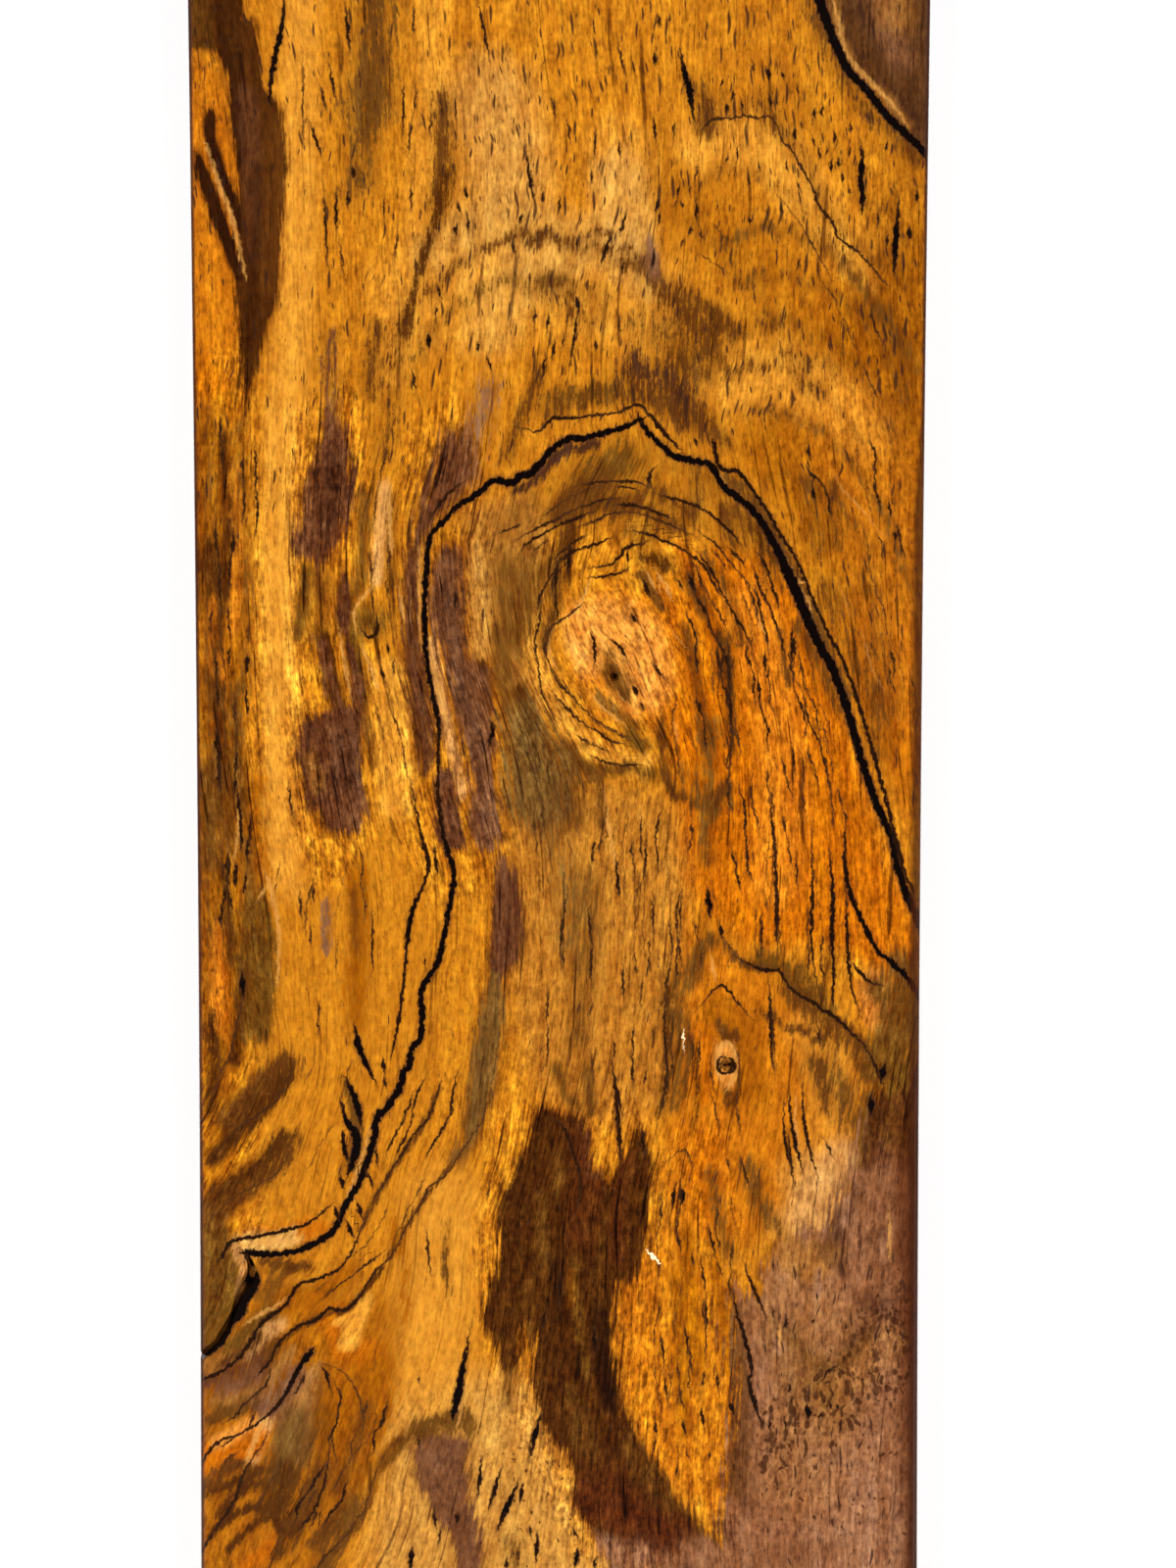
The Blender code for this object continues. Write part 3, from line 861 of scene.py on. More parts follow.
# The dark heart: purple-brown wood that lies in the gold in islands with feathered ends,
# the largest of them at the near end of the board.
DARK_ISLANDS = (
    # colour, softness and raggedness in mm, outline
    ("dark brown", 0.3, 0.5, [252, -200, 247, 0, 250, 15, 258, 22, 262, 35, 266, 80, 270, 92, 278, 100,
     285, 112, 288, 125, 291, 175, 290, 200, 286, 240, 283, 300, 264, 365, 251, 425, 250, 400, 243, 320,
     240, 300, 245, 220, 240, 160, 235, 120, 232, 80, 228, 65, 215, 50, 185, 45, 150, 0, 150, -200]),
    ("wenge", 0.25, 0.4, [800, -200, 835, 0, 860, 62, 890, 90, 910, 118, 930, 138, 945, 158, 1000, 190,
     1000, -200]),
    ("purple", 0.6, 1, [338, 425, 325, 450, 322, 475, 318, 490, 310, 505, 308, 525, 303, 545, 298, 555,
     305, 568, 330, 575, 340, 560, 350, 550, 356, 535, 360, 520, 363, 500, 360, 480, 352, 440]),
    ("purple", 0.4, 0.6, [351, 580, 357, 600, 357, 630, 350, 648, 345, 625, 345, 600]),
    ("purple", 0.5, 0.8, [322, 650, 332, 655, 341, 690, 352, 720, 342, 722, 330, 692]),
    ("purple", 0.4, 0.6, [352, 655, 360, 660, 370, 690, 372, 720, 364, 718, 358, 690]),
    ("purple", 0.5, 0.8, [305, 745, 313, 733, 330, 730, 345, 722, 368, 722, 369, 750, 368, 790, 375, 820,
     372, 840, 362, 850, 345, 850, 335, 845, 325, 830, 313, 815, 303, 775]),
    ("purple", 1.2, 1.2, [455, 440, 440, 475, 418, 550, 412, 600, 415, 680, 430, 780, 440, 780, 441, 740,
     438, 700, 430, 660, 428, 620, 429, 580, 437, 540, 478, 495, 480, 470, 470, 445]),
    ("soft purple", 0.7, 0.9, [447, 560, 440, 600, 440, 640, 452, 665, 458, 700, 474, 760, 480, 790,
     480, 830, 484, 860, 500, 868, 512, 850, 508, 820, 500, 800, 505, 750, 500, 730, 500, 700, 495, 680,
     480, 670, 475, 640, 473, 600, 468, 560]),
    ("purple", 0.4, 0.6, [443, 790, 442, 815, 452, 860, 475, 865, 470, 840, 466, 810, 462, 790, 452, 785]),
    ("purple", 0.5, 0.7, [508, 870, 520, 880, 528, 895, 532, 915, 533, 945, 532, 965, 528, 980, 515, 1000,
     508, 1020, 500, 980, 505, 900]),
    ("faded umber", 2.2, 2, [512, 725, 540, 715, 560, 745, 580, 785, 575, 830, 540, 840, 518, 820]),
    ("faded umber", 0.8, 0.9, [515, 985, 512, 1040, 507, 1080, 496, 1140, 486, 1160, 470, 1182, 464, 1184,
     476, 1155, 480, 1100, 486, 1060, 494, 1020, 503, 985]),
    ("dark brown", 0.45, 0.9, [552, 1130, 545, 1145, 522, 1205, 512, 1215, 508, 1235, 507, 1260, 510, 1275,
     508, 1300, 497, 1315, 495, 1345, 508, 1375, 510, 1390, 520, 1402, 530, 1385, 534, 1350, 540, 1348,
     545, 1385, 546, 1415, 549, 1440, 555, 1455, 563, 1470, 575, 1480, 583, 1490, 587, 1510, 586, 1530,
     592, 1545, 602, 1560, 618, 1590, 640, 1650, 650, 1780, 800, 1780, 760, 1620, 735, 1575, 722, 1565,
     705, 1540, 690, 1530, 677, 1505, 643, 1450, 632, 1410, 628, 1390, 625, 1365, 630, 1310, 640, 1310,
     650, 1300, 655, 1285, 660, 1265, 660, 1240, 668, 1190, 662, 1175, 655, 1150, 645, 1165, 637, 1180,
     632, 1195, 625, 1205, 615, 1200, 605, 1190, 600, 1160, 590, 1135, 580, 1138]),
    ("lavender", 0.9, 1.6, [1000, 1100, 940, 1110, 885, 1125, 878, 1175, 870, 1190, 865, 1205, 850, 1235,
     838, 1255, 800, 1265, 780, 1295, 775, 1320, 755, 1315, 750, 1330, 745, 1370, 750, 1430, 745, 1460,
     745, 1490, 738, 1530, 733, 1548, 735, 1575, 750, 1620, 770, 1780, 1000, 1780]),
    ("soft purple", 0.5, 0.8, [422, 1480, 425, 1505, 435, 1525, 443, 1545, 455, 1560, 463, 1575, 467, 1600,
     470, 1780, 500, 1780, 490, 1600, 490, 1560, 482, 1545, 478, 1520, 475, 1490, 480, 1475, 470, 1468,
     440, 1466]),
    ("black brown", 0.25, 0.3, [211, 105, 219, 120, 222, 148, 247, 215, 253, 240, 258, 280, 250, 262,
     233, 208, 222, 182, 212, 155, 208, 130]),
    ("black brown", 0.25, 0.3, [199, 150, 208, 165, 226, 208, 260, 310, 250, 305, 240, 285, 228, 255,
     207, 197, 199, 178]),
)
DARK_STROKES = (
    ("black brown", 0.85, 1.6, 1.6, [230, 0, 235, 50, 242, 160]),
    ("purple", 0.5, 1.6, 2, [252, 100, 258, 180, 262, 260]),
    ("olive", 0.5, 2, 2.4, [200, 0, 205, 45]),
    ("brown", 0.8, 1.6, 1.6, [280, 130, 279, 200, 272, 290]),
    ("black brown", 0.6, 0.9, 1.6, [262, 170, 262, 230, 255, 300, 252, 380]),
    ("dark brown", 0.6, 1.4, 2, [235, 0, 240, 50]),
    ("dark purple", 0.7, 0.8, 1.6, [848, 0, 866, 50, 905, 95, 940, 130]),
    ("lavender", 0.5, 2, 3, [900, 0, 920, 60]),
    ("dark purple", 0.5, 1.6, 2.4, [340, 470, 335, 530]),
    ("tan", 0.6, 0.9, 1.6, [315, 770, 325, 800]),
    ("dark purple", 0.5, 2, 2.4, [350, 745, 355, 800]),
    ("dark purple", 0.5, 1, 2, [455, 600, 462, 660, 480, 730, 490, 800]),
    ("maroon", 0.5, 2.6, 3, [590, 1150, 600, 1200, 590, 1260]),
    ("umber", 0.9, 0.5, 0.8, [569, 1178, 571, 1200, 569, 1218]),
    ("umber", 0.8, 0.6, 0.8, [538, 1308, 536, 1345, 545, 1382]),
    ("umber", 0.8, 0.5, 0.8, [586, 1288, 588, 1330, 590, 1372]),
    ("amber", 0.7, 0.35, 0.6, [584, 1300, 585, 1340]),
    ("umber", 0.6, 1.2, 1.2, [550, 1225, 558, 1300]),
    ("black brown", 0.7, 1.2, 1.2, [566, 1285, 570, 1345]),
    ("black brown", 0.8, 1.2, 1.2, [610, 1335, 612, 1375, 618, 1430]),
    ("black brown", 0.6, 0.6, 0.8, [530, 1190, 528, 1270]),
    ("maroon", 0.5, 1.4, 1.6, [640, 1180, 632, 1240, 628, 1280]),
    ("purple", 0.6, 1.4, 1.2, [600, 1125, 602, 1160, 606, 1195]),
    ("tan", 0.7, 0.5, 0.7, [616, 1145, 617, 1198]),
    ("tan", 0.6, 0.5, 0.7, [625, 1145, 624, 1190]),
    ("umber", 0.5, 1.6, 1.6, [580, 1420, 600, 1480]),
    ("umber", 0.45, 3, 3, [655, 1480, 680, 1520, 720, 1570]),
    ("tan", 0.7, 3, 3, [795, 1270, 820, 1285, 840, 1280]),
    ("umber", 0.75, 1.8, 1.6, [748, 1345, 755, 1460, 750, 1520]),
    ("dark purple", 0.5, 1.6, 2, [850, 1240, 855, 1290]),
    ("dark purple", 0.45, 2.6, 3, [890, 1330, 875, 1370, 850, 1392, 835, 1410]),
    ("umber", 0.35, 4, 4, [800, 1375, 825, 1410, 850, 1450]),
    ("maroon", 0.7, 2.2, 3, [930, 1150, 930, 1400, 928, 1700]),
    ("olive", 0.8, 2.8, 3, [905, 1105, 900, 1150]),
    ("dark brown", 0.8, 1.5, 1.6, [893, 1118, 892, 1150, 885, 1186]),
    ("dark brown", 0.7, 2.4, 2.4, [915, 1115, 930, 1150, 938, 1195]),
    ("dark purple", 0.5, 1.6, 2.4, [870, 1215, 862, 1245, 840, 1270]),
    ("umber", 0.7, 2.8, 3, [925, 1110, 922, 1160]),
    ("light lavender", 0.8, 0.5, 0.6, [835, 1294, 836, 1318]),
    ("light lavender", 0.8, 0.3, 0.5, [907, 1228, 908, 1266]),
    ("light lavender", 0.7, 0.4, 0.6, [900, 1254, 901, 1286]),
    ("light lavender", 0.7, 0.5, 0.6, [865, 1222, 862, 1246]),
    ("light lavender", 0.7, 0.6, 0.8, [793, 1348, 795, 1376]),
    ("tan", 0.6, 0.8, 1, [848, -60, 853, 20, 861, 45, 873, 65, 926, 128]),
    ("tan", 0.5, 3, 3, [905, -60, 915, 15]),
    ("dark brown", 0.5, 1.2, 1.6, [868, 20, 880, 50, 905, 90]),
    ("olive", 0.5, 0.7, 1.4, [586, 1300, 596, 1400]),
    ("black", 0.5, 1.1, 2, [619, 1345, 621, 1430]),
    ("maroon", 0.6, 4, 5, [620, 1520, 660, 1560, 700, 1600]),
    ("purple", 0.6, 6, 6, [640, 1610, 700, 1640, 720, 1760]),
    ("maroon", 0.45, 5, 6, [930, 1130, 925, 1230, 930, 1330]),
    ("purple", 0.6, 1.6, 2.6, [758, 1420, 760, 1530]),
    ("light lavender", 0.5, 0.8, 1.4, [795, 1350, 796, 1375]),
    ("light lavender", 0.4, 6, 8, [850, 1500, 880, 1560, 860, 1700]),
    ("tan", 0.28, 7, 8, [800, 1330, 840, 1380, 820, 1500]),
    ("tan", 0.3, 3, 3, [845, 1420, 880, 1400, 905, 1370]),
    ("umber", 0.5, 1, 2, [790, 1350, 830, 1385, 860, 1390, 885, 1365]),
    ("lavender", 0.85, 3.2, 3, [600, 1585, 660, 1592, 730, 1592, 790, 1600]),
    ("lavender", 0.9, 6, 3, [640, 1650, 720, 1650, 760, 1700]),
    ("olive", 0.7, 0.9, 1.2, [690, 1528, 735, 1572]),
    ("maroon", 0.75, 3.2, 3, [600, 1530, 640, 1550, 690, 1566]),
)
DARK_MARGIN = 3.0
DARK_REACH = 8.0
USUAL_SOFTNESS = 0.5
dark = np.tile(colour("purple"), (len(spots), 1))
island_gap = np.full(len(spots), DARK_REACH, dtype=np.float32)
island_soft = np.full(len(spots), USUAL_SOFTNESS, dtype=np.float32)
island_rag = np.full(len(spots), USUAL_SOFTNESS, dtype=np.float32)
for name, soft, rag, points in DARK_ISLANDS:
    gap = ring_gap(figure, points, DARK_REACH)
    held = gap < np.minimum(island_gap, DARK_MARGIN)
    dark[held] = colour(name)
    nearer = gap < island_gap
    island_soft[nearer] = soft
    island_rag[nearer] = rag
    island_gap = np.minimum(island_gap, gap)
for stroke in DARK_STROKES:
    lay_stroke(dark, *stroke)


# The ink lines: thin black and brown growth lines, and black painted shade along the open shake.
# The great one comes out of the shake, climbs the left side, arches over the great knot and falls
# to the right edge. Lines that run close together go to different sets, so that each has its own gap field.
INK_LINES = (
    # half widths in mm spread evenly along the line, places
    ((0.45, 0.5, 0.55, 0.6, 0.5, 0.5, 0.45), [252, 1278, 275, 1280, 305, 1276, 330, 1264, 340, 1255,
     347, 1245, 351, 1232, 366, 1208, 371, 1195, 381, 1165, 383, 1150, 386, 1137, 393, 1133, 405, 1115,
     410, 1105, 411, 1094, 417, 1090, 418, 1080, 421, 1068, 428, 1062, 430, 1050, 431, 1030, 430, 1010,
     445, 985, 450, 970, 457, 935]),
    ((0.45, 0.4, 0.25, 0.4, 0.45, 0.45, 0.4, 0.6, 0.5, 0.4), [457, 935, 463, 900, 462, 885, 457, 870,
     452, 850, 447, 811, 447, 780, 448, 750, 446, 730, 438, 690, 435, 670, 434, 650, 433, 625, 435, 580,
     437, 560, 440, 545, 455, 530, 463, 520, 472, 513, 483, 507, 492, 500, 500, 492, 508, 490, 515, 492,
     525, 492, 530, 485, 538, 485, 545, 480, 560, 462, 568, 455, 577, 449, 585, 447, 597, 447, 625, 439,
     635, 437, 653, 428]),
    ((0.4, 0.55, 0.5, 0.6, 0.85, 0.8, 0.65, 0.65, 0.6, 0.6, 0.6, 0.55), [653, 428, 660, 440, 683, 462,
     692, 467, 712, 471, 726, 475, 733, 488, 740, 498, 760, 513, 770, 523, 778, 534, 785, 546, 798, 571,
     832, 650, 847, 677, 853, 690, 864, 722, 882, 785, 895, 822, 910, 855, 915, 880, 928, 920, 960, 985]),
    ((0.35, 0.28, 0.3, 0.3, 0.25), [729, 455, 732, 472, 739, 480, 749, 480, 757, 485, 785, 525, 795, 543,
     815, 575, 825, 602, 832, 618, 848, 652, 857, 668, 871, 702, 880, 730, 900, 800, 922, 885, 932, 910]),
    ((0.1, 0.2, 0.3, 0.2, 0.2, 0.25, 0.2, 0.1), [525, 435, 535, 438, 550, 440, 560, 430, 568, 425, 575, 427,
     625, 422, 640, 417, 648, 413, 655, 415, 672, 432, 687, 452, 692, 455]),
    ((0.1, 0.25, 0.25, 0.1), [475, 490, 462, 500, 452, 510, 443, 522, 437, 535]),
    ((0.15, 0.32, 0.32, 0.3), [337, 1230, 318, 1246, 305, 1252, 262, 1262, 245, 1264, 235, 1268, 230, 1275,
     226, 1283]),
    ((0.14, 0.25, 0.32, 0.3, 0.3), [372, 1245, 360, 1275, 352, 1287, 343, 1297, 318, 1307, 308, 1309,
     300, 1316, 296, 1325, 290, 1333, 270, 1347, 262, 1358, 247, 1382, 235, 1393, 222, 1402, 208, 1407,
     195, 1410]),
    ((0.1, 0.12, 0.14, 0.16, 0.16, 0.16), [509, 1055, 503, 1100, 495, 1135, 485, 1155, 470, 1176, 462, 1190,
     450, 1203, 437, 1212, 430, 1228, 412, 1256, 405, 1273, 395, 1286]),
    ((0.16, 0.25, 0.32, 0.3, 0.25, 0.25), [395, 1286, 383, 1297, 370, 1318, 355, 1335, 345, 1337, 335, 1335,
     325, 1345, 315, 1350, 305, 1353, 295, 1360, 287, 1367, 280, 1378, 275, 1390, 265, 1400]),
    ((0.15, 0.22, 0.2, 0.15), [450, 1105, 440, 1135, 430, 1150, 420, 1161, 385, 1219]),
    ((0.6, 0.4, 0.35, 0.25, 0.22, 0.22, 0.25, 0.22), [317, 1380, 311, 1387, 305, 1396, 293, 1420, 286, 1431,
     278, 1440, 257, 1456, 245, 1463, 230, 1468, 219, 1475, 209, 1487, 200, 1500]),
    ((0.1, 0.14, 0.16, 0.14, 0.1), [329, 1391, 345, 1397, 356, 1406, 363, 1417, 368, 1432, 371, 1450,
     368, 1475]),
    ((0.1, 0.3, 0.3, 0.1), [327, 1393, 334, 1404, 338, 1420]),
    ((0.08, 0.2, 0.1), [338, 1458, 340, 1475, 343, 1492]),
    ((0.06, 0.12, 0.12, 0.08), [331, 1438, 323, 1462, 305, 1500]),
    # painted shade: black along the open shake, over its mouth and walls, where the crack lies in shadow
    ((0.25, 0.55, 0.9, 1, 0.6, 0.5, 0.6, 0.6), [250, 1281, 261, 1303, 256, 1316, 248, 1325, 245, 1340,
     237, 1349, 231, 1361, 223, 1372, 200, 1387]),
    ((0.1, 0.2, 0.2, 0.1), [435, 1256, 437, 1280, 440, 1302]),
    ((0.1, 0.14, 0.2, 0.16), [415, 1468, 405, 1470, 395, 1480, 388, 1492, 382, 1508, 372, 1540, 362, 1552,
     355, 1565, 335, 1585, 325, 1598, 305, 1640, 290, 1760]),
    ((0.1, 0.25, 0.2), [337, 1470, 332, 1510, 325, 1530, 318, 1545, 305, 1560]),
    ((0.1, 0.2, 0.25, 0.2), [275, 1450, 270, 1470, 250, 1500, 240, 1530, 220, 1560, 205, 1585]),
    ((0.9, 0.95, 0.7, 0.65, 0.6, 0.65), [815, -80, 836, 0, 860, 62, 871, 78, 883, 90, 905, 118, 940, 152,
     960, 175]),
    ((0.15, 0.3, 0.5, 0.45, 0.2), [917, 205, 912, 276]),
    ((0.1, 0.25, 0.5, 0.5, 0.45, 0.3), [878, 143, 880, 165, 878, 185, 880, 198, 880, 213]),
    ((0.1, 0.2, 0.5, 0.55, 0.25, 0.1), [694, 43, 696, 62, 704, 95, 706, 110, 710, 128]),
    ((0.2, 0.4, 0.4, 0.3), [290, 0, 288, 25, 279, 65, 276, 85, 275, 102]),
    ((0.08, 0.14, 0.36, 0.22, 0.26, 0.32, 0.24, 0.18, 0.3), [738, 955, 745, 966, 755, 979, 780, 990,
     795, 990, 802, 1003, 815, 1015, 828, 1022, 840, 1031, 850, 1036, 875, 1060, 885, 1072, 892, 1085,
     898, 1100]),
    ((0.2, 0.35, 0.4, 0.4, 0.45, 0.35), [862, 850, 862, 880, 866, 905, 873, 925, 895, 970, 904, 976,
     913, 986, 921, 992, 930, 1004, 940, 1022]),
    ((0.1, 0.3, 0.25, 0.1), [868, 980, 886, 1001, 903, 1006]),
    ((0.1, 0.3, 0.1), [790, 850, 792, 910, 797, 975]),
    ((0.1, 0.24, 0.1), [580, 905, 573, 950, 572, 990]),
    ((0.3, 0.3, 0.25, 0.2, 0.22, 0.25), [568, 580, 567, 600, 568, 625]),
    ((0.2, 0.15, 0.14, 0.16, 0.14), [590, 620, 575, 632, 562, 640, 558, 655, 558, 670, 565, 685, 575, 700,
     600, 728, 612, 737, 636, 752]),
    ((0.1, 0.25, 0.25, 0.1), [600, 580, 625, 575, 640, 558, 655, 555, 665, 550]),
    ((0.1, 0.25, 0.25, 0.1), [600, 590, 632, 585, 643, 578]),
    ((0.1, 0.3, 0.1), [670, 475, 663, 485, 665, 500]),
    ((0.1, 0.26, 0.28, 0.16), [743, 650, 745, 720, 747, 750]),
    ((0.1, 0.2, 0.2, 0.1), [810, 690, 820, 710, 825, 735, 835, 755, 842, 780, 848, 810, 850, 835]),
    ((0.16, 0.15, 0.1), [747, 750, 744, 790, 744, 840]),
    ((0.1, 0.28, 0.28, 0.1), [603, 643, 607, 662, 606, 680]),
    ((0.1, 0.24, 0.24, 0.1), [620, 650, 632, 660, 641, 674]),
    ((0.1, 0.24, 0.1), [665, 675, 672, 685, 679, 694]),
    ((0.15, 0.3, 0.3, 0.15), [660, 420, 676, 440, 693, 458]),
    ((0.1, 0.25, 0.25, 0.1), [368, 640, 377, 651, 386, 641, 383, 626]),
    ((0.1, 0.4, 0.4, 0.1), [500, 735, 503, 745, 498, 762]),
    ((0.1, 0.25, 0.25, 0.1), [785, 810, 790, 860, 793, 900]),
    ((0.08, 0.16, 0.25, 0.16, 0.06), [708, 1034, 718, 1023, 726, 1012, 735, 1005, 743, 1010, 750, 1020,
     762, 1034, 774, 1046]),
    ((0.16, 0.3, 0.2, 0.3, 0.22, 0.16), [741, 1079, 748, 1082, 750, 1089, 744, 1095, 736, 1094, 732, 1087,
     735, 1080, 740, 1078]),
    ((0.1, 0.14, 0.16, 0.1), [731, 1062, 726, 1075, 725, 1092, 730, 1116]),
    ((0.1, 0.16, 0.14, 0.12, 0.16, 0.08), [748, 1064, 754, 1080, 754, 1100, 752, 1125, 753, 1142,
     757, 1162]),
    ((0.1, 0.3, 0.1), [828, 840, 829, 900, 828, 950, 830, 985, 838, 1020]),
    ((0.1, 0.35, 0.35, 0.2), [846, 860, 850, 915, 849, 960, 851, 990, 849, 1022]),
    ((0.1, 0.3, 0.3, 0.1), [863, 905, 866, 985, 871, 1015, 878, 1036]),
    ((0.1, 0.25, 0.25, 0.1), [785, 1000, 787, 1070, 791, 1097]),
    ((0.1, 0.22, 0.25, 0.1), [800, 1118, 800, 1150, 804, 1180, 812, 1210]),
    ((0.1, 0.28, 0.35, 0.1), [806, 1108, 806, 1132, 811, 1165, 821, 1200]),
    ((0.1, 0.25, 0.25, 0.1), [819, 1103, 819, 1130, 825, 1168, 836, 1206]),
    ((0.1, 0.2, 0.1), [841, 1163, 851, 1182]),
    ((0.12, 0.2, 0.24, 0.2, 0.1), [681, 1000, 678, 1040, 679, 1070, 681, 1095, 677, 1122, 669, 1152]),
    ((0.08, 0.14, 0.16, 0.08), [674, 1187, 684, 1182, 697, 1173, 704, 1183, 706, 1198]),
    ((0.08, 0.15, 0.15, 0.08), [722, 1105, 729, 1128, 733, 1150, 734, 1164]),
    ((0.1, 0.3, 0.35, 0.3, 0.35, 0.1), [747, 1315, 751, 1335, 764, 1380, 767, 1402, 764, 1412, 779, 1460]),
    ((0.1, 0.28, 0.28, 0.15), [759, 1288, 765, 1305, 781, 1342]),
    ((0.1, 0.25, 0.1), [836, 1412, 845, 1400, 857, 1391]),
    ((0.2, 0.18, 0.16, 0.2, 0.22, 0.2, 0.15), [720, 128, 728, 121, 745, 121, 760, 118, 775, 121, 785, 118,
     793, 130, 798, 142, 806, 151, 813, 161, 829, 192, 834, 206, 841, 217, 849, 226, 854, 240, 862, 248,
     872, 254, 882, 264, 903, 288]),
    ((0.1, 0.16, 0.12), [797, 203, 806, 215, 816, 226, 822, 238, 848, 284]),
    ((0.1, 0.24, 0.24, 0.22, 0.2, 0.1), [558, 1140, 568, 1144, 577, 1154, 587, 1182, 591, 1197, 592, 1212,
     588, 1236]),
    ((0.1, 0.25, 0.4, 0.2), [624, 1078, 631, 1145, 633, 1180]),
    ((0.2, 0.6, 0.5, 0.2), [362, 1048, 366, 1068, 381, 1101]),
    ((0.2, 0.6, 0.6, 0.2), [354, 1103, 361, 1118, 366, 1134, 368, 1147]),
    ((0.2, 0.5, 0.7, 0.7, 0.3), [349, 1127, 354, 1145, 363, 1157, 363, 1175, 356, 1196]),
    ((0.1, 0.4, 0.4, 0.1), [350, 1152, 351, 1172, 357, 1188]),
    ((0.15, 0.25, 0.3, 0.25, 0.5, 0.25, 0.25, 0.3, 0.2), [421, 805, 430, 855, 436, 872, 437, 888, 432, 904,
     425, 918, 419, 935, 415, 965, 412, 1000, 407, 1040, 400, 1075]),
    ((0.1, 0.16, 0.16, 0.1), [300, 1090, 290, 1110, 280, 1125, 260, 1140, 245, 1150, 215, 1180]),
    ((0.1, 0.16, 0.16, 0.1), [250, 1000, 247, 1020, 235, 1075, 225, 1095, 215, 1120]),
    ((0.08, 0.14, 0.14, 0.1), [295, 1175, 285, 1195, 270, 1205, 250, 1215, 235, 1225, 215, 1245]),
    ((0.08, 0.12, 0.3, 0.5, 0.65, 0.5), [484, 1338, 474, 1386, 468, 1420, 463, 1442]),
    ((0.1, 0.22, 0.22, 0.1), [486, 0, 492, 20, 500, 65]),
    ((0.1, 0.22, 0.1), [890, 310, 890, 325, 900, 350]),
)
